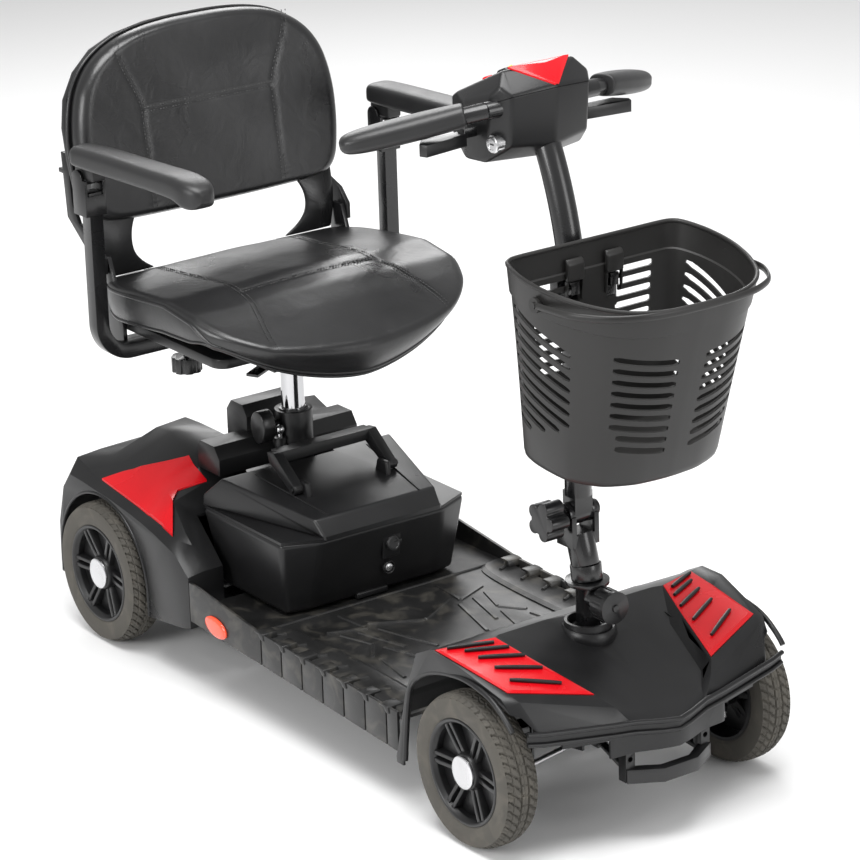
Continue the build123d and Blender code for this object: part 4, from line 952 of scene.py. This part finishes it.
def seat_band(rim, base):
    """Rings of the bulging side band, between the two pipings."""
    levels = []
    for share in (0.12, 0.3, 0.5, 0.7, 0.88, 1.0):
        bulge = 2.6 * math.sin(math.pi * share)
        ring = []
        for a, b in zip(rim, base):
            p = Vector(a).lerp(Vector(b), share)
            out = Vector((p.x - SEAT_MIDDLE_X, p.y, 0)).normalized()
            ring.append(tuple(p + out * bulge * clamp((a[2] - b[2]) / 30)))
        levels.append(ring)
    return levels


def seat_underside(base):
    """Rings of the hollowed underside, from the lower piping in."""
    pan_z = 476
    levels = []
    for share, lift in ((0.95, 3), (0.86, 8), (0.7, 12), (0.4, 14), (0.02, 14)):
        ring = []
        for x, y, z in base:
            raised = z + lift * smooth_step(250, 330, x)
            ring.append((inward(x, share), y * share, max(raised, pan_z if share < 0.9 else raised)))
        levels.append(ring)
    return levels


def seat_piece():
    """Top panel that rolls over the front, side band, underside and two lines of piping."""
    levels = seat_top()
    rim, base = [], []
    for x, y in SEAT_PLAN:
        drawn_in, z = seat_rim(x, y)
        rim.append((inward(x, 1 - drawn_in), y * (1 - drawn_in * 0.5), z))
    for x, y, z in rim:
        front = smooth_step(255, 320, x)
        low = along_line(SEAT_BASE, x) * (1 - front) + (z - 5) * front
        base.append((inward(x, 0.985), y * 0.985, min(low, z - 4)))
    levels += seat_roll(levels[-1], rim)
    levels += seat_band(rim, base)
    levels += seat_underside(base)
    seat = rings("seat_cushion_cover", levels)
    dress(seat, LEATHER, "seat", ("seat_cushion",), 60.0)
    piping = join("seat_piping", [tube("piping", rim, 2.5, 8, True), tube("piping", base, 2.3, 8, True)])
    dress(piping, LEATHER, "seat", (), 60.0)


def stitch_row(path):
    """Short thread stitches along a path of surface points."""
    parts = []
    length = 0.0
    for a, b in zip(path[:-1], path[1:]):
        a, b = Vector(a), Vector(b)
        reach = (b - a).length
        if reach < 1e-6:
            continue
        while length < reach:
            start = a.lerp(b, length / reach)
            end = a.lerp(b, min(1.0, (length + STITCH_PITCH * 0.6) / reach))
            parts.append(tube("stitch", [start, end], 0.65, 5))
            length += STITCH_PITCH
        length -= reach
    return join("stitch_row", parts)


def seat_stitching():
    """Double rows of stitches along the two long seams and the cross seam."""
    paths = []
    for sign in (1, -1):
        for off in (-SEAM_GAP, SEAM_GAP):
            line = []
            for x in [-14 + 366 * k / 89 for k in range(90)]:
                y = seam_offset(x) * sign + off
                line.append((x, y, seat_surface(x, y) + THREAD_LIFT))
            paths.append(line)
    for x in (CROSS_SEAM_X - SEAM_GAP, CROSS_SEAM_X + SEAM_GAP):
        paths.append([(x, y, seat_surface(x, y) + THREAD_LIFT) for y in range(-108, 109, 4)])
    made = join("seat_stitching", [stitch_row(path) for path in paths])
    return dress(made, THREAD, "seat", (), 60.0)


BACK_HALF = spline([(0, 858), (40, 857.5), (80, 854), (118, 846), (150, 832), (176, 812), (194, 786),
                    (204, 756), (209, 722), (209, 690), (206, 656), (200, 626), (186, 608), (160, 601),
                    (110, 599), (50, 598), (0, 598)], 6)
BACK_PLAN = BACK_HALF + [(-y, z) for y, z in reversed(BACK_HALF[1:-1])]
BACK_MIDDLE_Z = 725.0
BACK_CROSS_SEAM_Z = 744
BACK_FACE_X = -19.2
LEAN = math.radians(8.0)


def leaned(x, y, z):
    """Tilt a point of the upright backrest back about its lower edge."""
    foot_x, foot_z = 12, 602
    dx, dz = x - foot_x, z - foot_z
    return (foot_x + dx * math.cos(LEAN) - dz * math.sin(LEAN), y,
            foot_z + dx * math.sin(LEAN) + dz * math.cos(LEAN))


def back_seam(z):
    """Half distance between the backrest's two long seams."""
    return 105 + 30 * smooth_step(738, 836, z)


def back_front(y, z):
    """Forward face of the upright backrest."""
    x = 17.5 + 3.0 * math.cos(clamp((z - 690) / 170, -1, 1) * math.pi / 2)
    x -= 5.0 * math.cos(clamp(y / 205, -1, 1) * math.pi / 2) * (1 - smooth_step(780, 855, z))
    x -= 1.6 * math.exp(-((abs(y) - back_seam(z)) / 2.2) ** 2)
    if abs(y) < back_seam(z):
        x -= 1.7 * math.exp(-((z - BACK_CROSS_SEAM_Z) / 3.0) ** 2)
    x += 0.45 * math.sin(z / 19.0 + y / 50.0) * math.sin(y / 27.0)
    return x


def towards_middle(z, share):
    """Height drawn in towards the middle of the backrest."""
    return BACK_MIDDLE_Z + (z - BACK_MIDDLE_Z) * share


def back_piece():
    """Padded front, rounded edge with its piping, and flat back."""
    levels = []
    for share in [0.02 + 0.90 * step / 46 for step in range(47)]:
        ring = []
        for y, z in BACK_PLAN:
            height = towards_middle(z, share)
            ring.append(leaned(back_front(y * share, height), y * share, height))
        levels.append(ring)
    for angle in range(15, 181, 15):
        turn = math.radians(angle)
        share = 0.92 + 0.08 * math.sin(turn)
        ring = []
        for y, z in BACK_PLAN:
            front = back_front(y * 0.92, towards_middle(z, 0.92))
            middle, half = (front + BACK_FACE_X) / 2, (front - BACK_FACE_X) / 2
            ring.append(leaned(middle + half * math.cos(turn), y * share, towards_middle(z, share)))
        levels.append(ring)
    for share in (0.8, 0.5, 0.02):
        levels.append([leaned(BACK_FACE_X, y * share, towards_middle(z, share)) for y, z in BACK_PLAN])
    back = rings("back_cushion_cover", levels)
    dress(back, LEATHER, "backrest", ("back_cushion",), 60.0)
    edge = [leaned(-14, y * 1.004, towards_middle(z, 1.004)) for y, z in BACK_PLAN]
    dress(tube("back_piping", edge, 2.6, 8, True), LEATHER, "backrest", (), 60.0)


def back_stitching():
    """Double rows of stitches along the backrest's seams."""
    paths = []
    for sign in (1, -1):
        for off in (-SEAM_GAP, SEAM_GAP):
            line = []
            for z in [610 + 232 * k / 79 for k in range(80)]:
                y = back_seam(z) * sign + off
                line.append(leaned(back_front(y, z) + THREAD_LIFT, y, z))
            paths.append(line)
    for z in (BACK_CROSS_SEAM_Z - SEAM_GAP, BACK_CROSS_SEAM_Z + SEAM_GAP):
        paths.append([leaned(back_front(y, z) + THREAD_LIFT, y, z) for y in range(-104, 105, 4)])
    made = join("back_stitching", [stitch_row(path) for path in paths])
    return dress(made, THREAD, "backrest", (), 60.0)


def gusset(side, sign):
    """Vinyl-covered flap from the backrest's lower corner to the seat's rear corner."""
    inner = spline([(116, 614), (131, 601), (140, 584), (142, 566), (137, 550), (124, 536), (106, 524)], 5)
    rows = []
    for y, z in inner:
        share = (z - 524) / 88
        x = 4 + 6 * math.sin(math.pi * clamp(share)) - 6 * share
        outer = 186 + 6 * share
        row = []
        for t in [k / 8 for k in range(9)]:
            dish = 4.0 * math.sin(math.pi * t) * math.sin(math.pi * clamp(share))
            row.append((x + dish, sign * (y + (outer - y) * t), z))
        rows.append(row)
    flap = smoothed(thickened(sheet(f"{side}_gusset", rows), 3.2))
    flap.data.materials.append(LEATHER)
    shaded(flap, 60)
    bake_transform(flap)
    return flap


seat_piece()
seat_stitching()
back_piece()
back_stitching()
gusset("left", 1)
gusset("right", -1)


# ---------------------------------------------------------------- arm pads
PAD_SIDE = [(50, 713, 728), (54, 709, 732), (66, 707, 735), (110, 707.5, 738), (180, 711, 741),
            (250, 714, 744), (300, 715, 746.5), (318, 713, 746), (334, 708.5, 744.5), (347, 709, 741),
            (355, 713, 736), (359, 719, 730)]
PAD_Y = 239


def arm_pad(side, sign):
    """Padded armrest with rounded ends, its hinge block and barrel."""
    levels = []
    for x, low, high in spline(PAD_SIDE, 5):
        nose = clamp((x - 322) / 37)
        tail = clamp((64 - x) / 14)
        nose_taper = math.sqrt(max(0.02, 1 - nose ** 2.4 * 0.93))
        tail_taper = math.sqrt(max(0.02, 1 - tail ** 2.0 * 0.85))
        half = 24.6 * nose_taper * tail_taper * (0.93 + 0.07 * smooth_step(60, 330, x))
        ring = []
        for a in circle(36):
            c, s = math.cos(a), math.sin(a)
            power = 0.62 if s > 0 else 0.42
            z = (low + high) / 2 + squared(s, power) * (high - low) / 2
            ring.append((x, sign * PAD_Y + squared(c, power) * half, z))
        levels.append(ring)
    pad = smoothed(rings(f"{side}_pad_skin", levels))
    hinge = bevelled(box_piece("hinge", 52, 96, *span(sign, 228.3, 249.7), 690, 712), 2.0, 3)
    barrel = cross_tube("barrel", 64, 690, sign, 228.3, 249.7, 10.6, 32)
    whole = join(f"{side}_arm_pad_shape", [pad, hinge, barrel])
    dress(whole, PAD, f"{side}_arm_pad", (f"{side}_arm_pad",), 50.0)
    return whole


arm_pad("left", 1)
arm_pad("right", -1)


# ---------------------------------------------------------------- control head and grips
HEAD_LIMITS = (642, 784, 73, 815, 934)
HEAD_FACETS = [
    [(642, 0, 884), (744, 0, 934), (744, 50, 934)], [(744, 52, 934), (770, 59, 907), (783, 0, 914)],
    [(783, 0, 914), (770, 59, 907), (765, 58, 844)], [(770, 59, 907), (765, 58, 844), (744, 73, 907)],
    [(765, 58, 844), (783, 0, 844), (735, 60, 820)], [(735, 0, 819), (690, 0, 816), (690, 50, 816)],
    [(690, 0, 816), (652, 0, 831), (652, 50, 831)], [(642, 56, 885), (642, 56, 831), (690, 73, 885)],
    [(744, 54, 934), (690, 60, 907), (744, 73, 905)],
]
HEAD_SEAM_SLOPE = (906 - 893) / (770 - 739)


def head_seam_z(x):
    """Height of the seam between the head's two halves."""
    return 893 + (x - 739) * HEAD_SEAM_SLOPE


def control_head():
    """Two halves of the head with a narrow seam between them, and its raised coloured arrow."""
    low, high = 600, 820
    for node, gap, far in (("head_upper_shell", -0.35, 120), ("head_lower_shell", 0.35, -120)):
        half = bevelled(convex(node + "_skin", HEAD_LIMITS, (715, 0, 870), HEAD_FACETS), 4.5, 4, 12.0)
        away = [(low, head_seam_z(low) - gap), (high, head_seam_z(high) - gap),
                (high, head_seam_z(high) - far - 0.35), (low, head_seam_z(low) - far - 0.35)]
        half = cut(half, [prism("other_half", away, -100, 100)])
        dress(half, SHELL, "tiller", (node,), 32.0)
    arrow = bevelled(cad_copy("head_red_panel"), 0.5, 2, 30, True)
    dress(arrow, RED, "tiller", ("head_red_panel",), 30.0)


GRIP_STATIONS = [(0.0, 15, 12.5), (0.02, 17.5, 14), (0.12, 19.5, 14.6), (0.35, 22, 15.2), (0.6, 22.5, 15),
                 (0.8, 21, 14), (0.92, 17.5, 12), (0.975, 12, 9), (1.0, 5, 4)]


def hand_grip(side, sign):
    """Wing-shaped grip with a moulded seam round it."""
    inner = Vector((735, sign * 104, 886))
    outer = Vector((654, sign * 232, 854))
    along = (outer - inner).normalized()
    across = Vector((0, 0, 1)).cross(along).normalized()
    up = along.cross(across)
    levels = []
    for share, wide, tall in spline(GRIP_STATIONS, 5):
        ring = []
        for a in circle(40):
            u = squared(math.cos(a), 0.78) * wide
            v = squared(math.sin(a), 0.72) * tall
            if abs(v) < 1.2:
                u *= 0.975
            ring.append(inner.lerp(outer, share) + across * u + up * v)
        levels.append(ring)
    return smoothed(rings(f"{side}_grip_skin", levels))


KEY_PROFILE = [(9, -62), (9, -73.2), (11, -73.2), (11.2, -75.4), (10, -76.4), (7, -76.6), (6.6, -75.8),
               (0.1, -75.8)]


def head_controls():
    """Dial with its marks, horn button and key switch."""
    normal = Vector((-0.44014, 0, 0.89793))
    sideways = Vector((0, 1, 0))
    along = sideways.cross(normal)
    dial_x, horn_x, horn_y = 686, 700, -42

    def on_dash(x, y, height, u=0.0, v=0.0):
        base = Vector((x, y, 884 + (x - 642) * 50 / 102))
        return base + normal * height + sideways * u + along * v

    levels = []
    for radius, height in ((13.6, -6), (13.6, 0.5), (13.2, 8.4), (11.8, 10.2), (0.1, 10.6)):
        ring = []
        for k, a in enumerate(circle(72)):
            r = radius * (1 - (0.07 if k % 6 < 2 and 0 < height < 10 else 0))
            ring.append(on_dash(dial_x, 0, height, r * math.cos(a), r * math.sin(a)))
        levels.append(ring)
    dress(rings("speed_dial_shape", levels), KNOB, "speed_dial", ("speed_dial",), 32.0)
    mark = tube("dial_mark", [on_dash(dial_x, 0, 10.4, 0, 3), on_dash(dial_x, 0, 10.4, 0, 11.5)], 1.1, 8)
    dress(mark, YELLOW, "speed_dial", (), 40.0)
    scale = []
    for k in range(9):
        a = math.radians(-120 + 30 * k)
        near, far = 17, 19 + k * 0.4
        start = on_dash(dial_x, 0, 0.6, near * math.sin(a), near * math.cos(a))
        end = on_dash(dial_x, 0, 0.6, far * math.sin(a), far * math.cos(a))
        scale.append(tube("scale", [start, end], 1.2, 8))
    dress(join("dial_scale", scale), YELLOW, "tiller", (), 40.0)
    levels = []
    for radius, height in ((6.8, -6), (6.8, 2.2), (6.0, 3.2), (3.6, 3.6), (0.1, 3.7)):
        levels.append([on_dash(horn_x, horn_y, height, radius * math.cos(a), radius * math.sin(a))
                       for a in circle(36)])
    dress(rings("horn_button_shape", levels), RED, "horn_button", ("horn_button",), 40.0)
    levels = []
    for radius, y in KEY_PROFILE:
        levels.append([(750 + radius * math.cos(a), y, 847 + radius * math.sin(a)) for a in circle(40)])
    # Thin satin-black box on the key barrel's face: painted shade standing in for the keyhole slot, which is
    # not cut as a recess.
    slot = box_piece("keyhole_painted_shade", 746.5, 753.5, -76.4, -75.6, 846.2, 847.8)
    barrel = rings("key_barrel", levels)
    dress(barrel, STEEL, "key_switch", ("key_switch",), 34.0)
    dress(slot, KNOB, "key_switch", (), 34.0)


control_head()
grips = join("hand_grips_shape", [hand_grip("left", 1), hand_grip("right", -1)])
dress(grips, PAD, "tiller", ("hand_grips",), 50.0)
head_controls()


# ---------------------------------------------------------------- basket
RIM_PLAN = spline([(843, 0), (843, 60), (843, 108), (846, 124), (856, 133), (884, 141), (912, 143.5),
                   (938, 142), (962, 137), (981, 131), (1003, 121), (1020, 110), (1036, 93), (1047, 73),
                   (1054, 48), (1056, 24), (1057, 0)], 4)
FLOOR_PLAN = spline([(841, 0), (841, 50), (841, 92), (844, 105), (853, 114), (872, 119), (900, 119),
                     (930, 115), (945, 108), (957, 99), (967, 90), (974, 79), (981, 62), (986, 45),
                     (988, 28), (989, 14), (989.5, 0)], 4)


def on_line(line, share):
    """Point at a share of a line's length."""
    spans = [math.dist(a, b) for a, b in zip(line[:-1], line[1:])]
    left = share * sum(spans)
    for (a, b), span in zip(zip(line[:-1], line[1:]), spans):
        if left <= span:
            return tuple(p + (q - p) * left / span for p, q in zip(a, b))
        left -= span
    return line[-1]


def wall_point(u, v):
    """Basket wall: u is 0 at the front middle and 1 at the back, minus on the right; v rises to the rim."""
    low = on_line(FLOOR_PLAN, 1 - abs(u))
    high = on_line(RIM_PLAN, 1 - abs(u))
    z_low = 486 - 0.13 * (low[0] - 843)
    z_high = 734 - 0.13 * (high[0] - 843)
    x = low[0] + (high[0] - low[0]) * v
    y = low[1] + (high[1] - low[1]) * v
    return Vector((x, y if u > 0 else -y, z_low + (z_high - z_low) * v))


def wall_normal(u, v):
    across = wall_point(u + 0.004, v) - wall_point(u - 0.004, v)
    up = wall_point(u, min(1, v + 0.01)) - wall_point(u, v - 0.01)
    normal = across.cross(up).normalized()
    middle = Vector((930, 0, 600))
    return normal if normal.dot(wall_point(u, v) - middle) > 0 else -normal


def slot_cutter(start, end, height):
    """Rounded slot through the wall between two (u, v) ends."""
    levels = []
    steps = 12
    for step in range(steps + 1):
        share = step / steps
        u = start[0] + (end[0] - start[0]) * share
        v = start[1] + (end[1] - start[1]) * share
        point = wall_point(u, v)
        normal = wall_normal(u, v)
        ahead = wall_point(u + (end[0] - start[0]) * 0.01, v + (end[1] - start[1]) * 0.01) - point
        along = ahead.normalized()
        side = normal.cross(along).normalized()
        half = height / 2 * (0.55 if step in (0, steps) else 1.0)
        levels.append([point + side * half + normal * 12, point - side * half + normal * 12,
                       point - side * half - normal * 12, point + side * half - normal * 12])
    return rings("slot", levels)


HOOK_YS = (-30, 30)
WALL_LEVELS = [(0.0, -9), (0.006, -4), (0.02, -1.2), (0.05, 0), (0.2, 0), (0.4, 0), (0.6, 0), (0.80, 0),
               (0.855, 0), (0.862, 2.2), (0.9, 2.4), (0.985, 2.6), (1.0, 2.6)]


def basket_cutters():
    """Slanted front and side slots, level back slots and the two hook holes."""
    cutters = []
    for sign in (1, -1):
        for row in range(9):
            v = 0.735 - 0.0625 * row
            first = 0.262 if row < 7 else 0.238
            cutters.append(slot_cutter((sign * first, v), (sign * 0.05, v - 0.045), 8.5))
        for row in range(10):
            v = 0.812 - 0.0635 * row
            last = 0.395 if row < 7 else (0.435, 0.50, 0.575)[row - 7]
            cutters.append(slot_cutter((sign * 0.655, v), (sign * last, v - 0.432 * (0.655 - last)), 8.0))
        for row in range(8):
            v = 0.815 - 0.0605 * row
            cutters.append(slot_cutter((sign * 0.775, v), (sign * 0.915, v), 8.5))
    for y in HOOK_YS:
        cutters.append(box_piece("hook_hole", 830, 852, y - 9, y + 9, 658, 681))
    return cutters


def basket_shell():
    steps = 160
    levels = []
    for v, out in WALL_LEVELS:
        ring = []
        for u in [-1 + 2 * k / steps for k in range(steps)]:
            u = clamp(u if abs(u) > 1e-6 else 1e-6, -0.9999, 0.9999)
            normal = wall_normal(u if abs(u) > 0.005 else 0.005, max(v, 0.02))
            ring.append(wall_point(u, v) + normal * out)
        levels.append(ring)
    shell = thickened(rings("basket_skin", levels, True, False), 3.0)
    return cut(shell, basket_cutters())


BAIL_X = 926
BAIL_Z = 703


def basket():
    """Slotted shell, rim bead, hook channels and the bosses that carry the strap."""
    rim_line = []
    for u in [-0.999 + 1.998 * k / 159 for k in range(160)]:
        point = wall_point(u if abs(u) > 1e-6 else 1e-6, 1.0)
        rim_line.append(tuple(point + wall_normal(max(0.005, u) if u >= 0 else u, 0.95) * 1.2))
    parts = [basket_shell(), tube("rim_bead", rim_line, 2.9, 10, True)]
    channel = [(846, 690), (853, 690), (853.5, 712), (850, 717.5), (846, 718)]
    channel_side = [(846, 664), (849, 664), (851, 690), (846, 690)]
    for y in HOOK_YS:
        parts.append(bevelled(prism("channel", channel, y - 12.5, y + 12.5), 2.0, 3))
        for edge in (-11.5, 11.5):
            parts.append(prism("channel_side", channel_side, y + edge - 1, y + edge + 1))
    for sign in (1, -1):
        parts.append(cross_tube("bail_boss", BAIL_X, BAIL_Z, sign, 141, 145.2, 9.5, 28))
    return dress(join("basket_shape", parts), BASKET, "basket", ("basket",), 34.0)


def basket_bail():
    """Flat carry strap lying forward along the rim, with round ends on its pivots."""
    half = spline([(BAIL_X, 149.5), (950, 149), (986, 145.5), (1010, 135), (1032, 119.5), (1046, 100),
                   (1056, 77), (1062, 48), (1064, 20), (1064.5, 0)], 6)
    line = half + [(x, -y) for x, y in reversed(half[:-1])]
    rise = math.tan(math.radians(1))
    tall, wide = 4.6, 2.3
    levels = []
    for index, (x, y) in enumerate(line):
        before = line[max(0, index - 1)]
        after = line[min(len(line) - 1, index + 1)]
        side = Vector((after[1] - before[1], before[0] - after[0], 0)).normalized()
        middle = Vector((x, y, BAIL_Z + rise * (x - BAIL_X)))
        levels.append([middle + side * wide * math.cos(a) + Vector((0, 0, tall * math.sin(a)))
                       for a in circle(12)])
    parts = [rings("strap", levels)]
    for sign in (1, -1):
        parts.append(cross_tube("eye", BAIL_X, BAIL_Z, sign, 146, 150.6, 9.4, 30))
        parts.append(cross_tube("pin_head", BAIL_X, BAIL_Z, sign, 150, 152.4, 4.2, 20))
    return dress(join("basket_handle_shape", parts), BASKET, "basket_handle",
                 ("basket_handle",), 36.0)


basket()
basket_bail()


# ---------------------------------------------------------------- CAD shapes with rounded edges
for node, material, body, slot, width in (
    ("post_tower", SHELL, "chassis", "black_shell", 1.6),
    ("rear_shell", SHELL, "chassis", "black_shell", 1.8),
    ("front_cowl", SHELL, "chassis", "black_shell", 2.4),
    ("battery_handle", SHELL, "battery_handle", "black_shell", 3.0),
    ("nose_bumper", KNOB, "chassis", "knob_black", 1.6),
    ("seat_pan", SHELL, "seat", "black_shell", 1.2),
    ("back_shell", SHELL, "backrest", "black_shell", 1.0),
    ("seat_frame", PAINT, "seat", "frame_black", 0.8),
    ("left_arm_tube", PAINT, "left_arm", "frame_black", 1.6),
    ("right_arm_tube", PAINT, "right_arm", "frame_black", 1.6),
    ("swivel_lever", PAINT, "swivel_lever", "frame_black", 0.5),
    ("fold_knob", KNOB, "fold_knob", "knob_black", 1.4),
    ("stem_lock_knob", KNOB, "stem_lock_knob", "knob_black", 0.8),
    ("post_lock_knob", KNOB, "post_lock_knob", "knob_black", 1.6),
    ("left_arm_knob", KNOB, "left_arm_knob", "knob_black", 1.2),
    ("right_arm_knob", KNOB, "right_arm_knob", "knob_black", 1.2),
    ("throttle_lever", KNOB, "throttle_lever", "knob_black", 1.2),
    ("steering_stem", PAINT, "steering_stem", "frame_black", 0.8),
    ("tiller_tube", PAINT, "tiller", "frame_black", 0.6),
    ("front_frame", PAINT, "chassis", "frame_black", 0.8),
    ("rear_frame", PAINT, "chassis", "frame_black", 0.8),
):
    softened(node, material, body, width)

# CAD nodes that stay in view as they are
for node, material in (
    ("seat_post", CHROME), ("drive_unit", IRON), ("controller_box", GREY),
    ("left_knuckle", PAINT), ("right_knuckle", PAINT), ("left_tie_rod", STEEL), ("right_tie_rod", STEEL),
    ("battery_cells", GREY), ("pull_pin", STEEL), ("freewheel_lever", STEEL),
):
    paint_node(node, material)
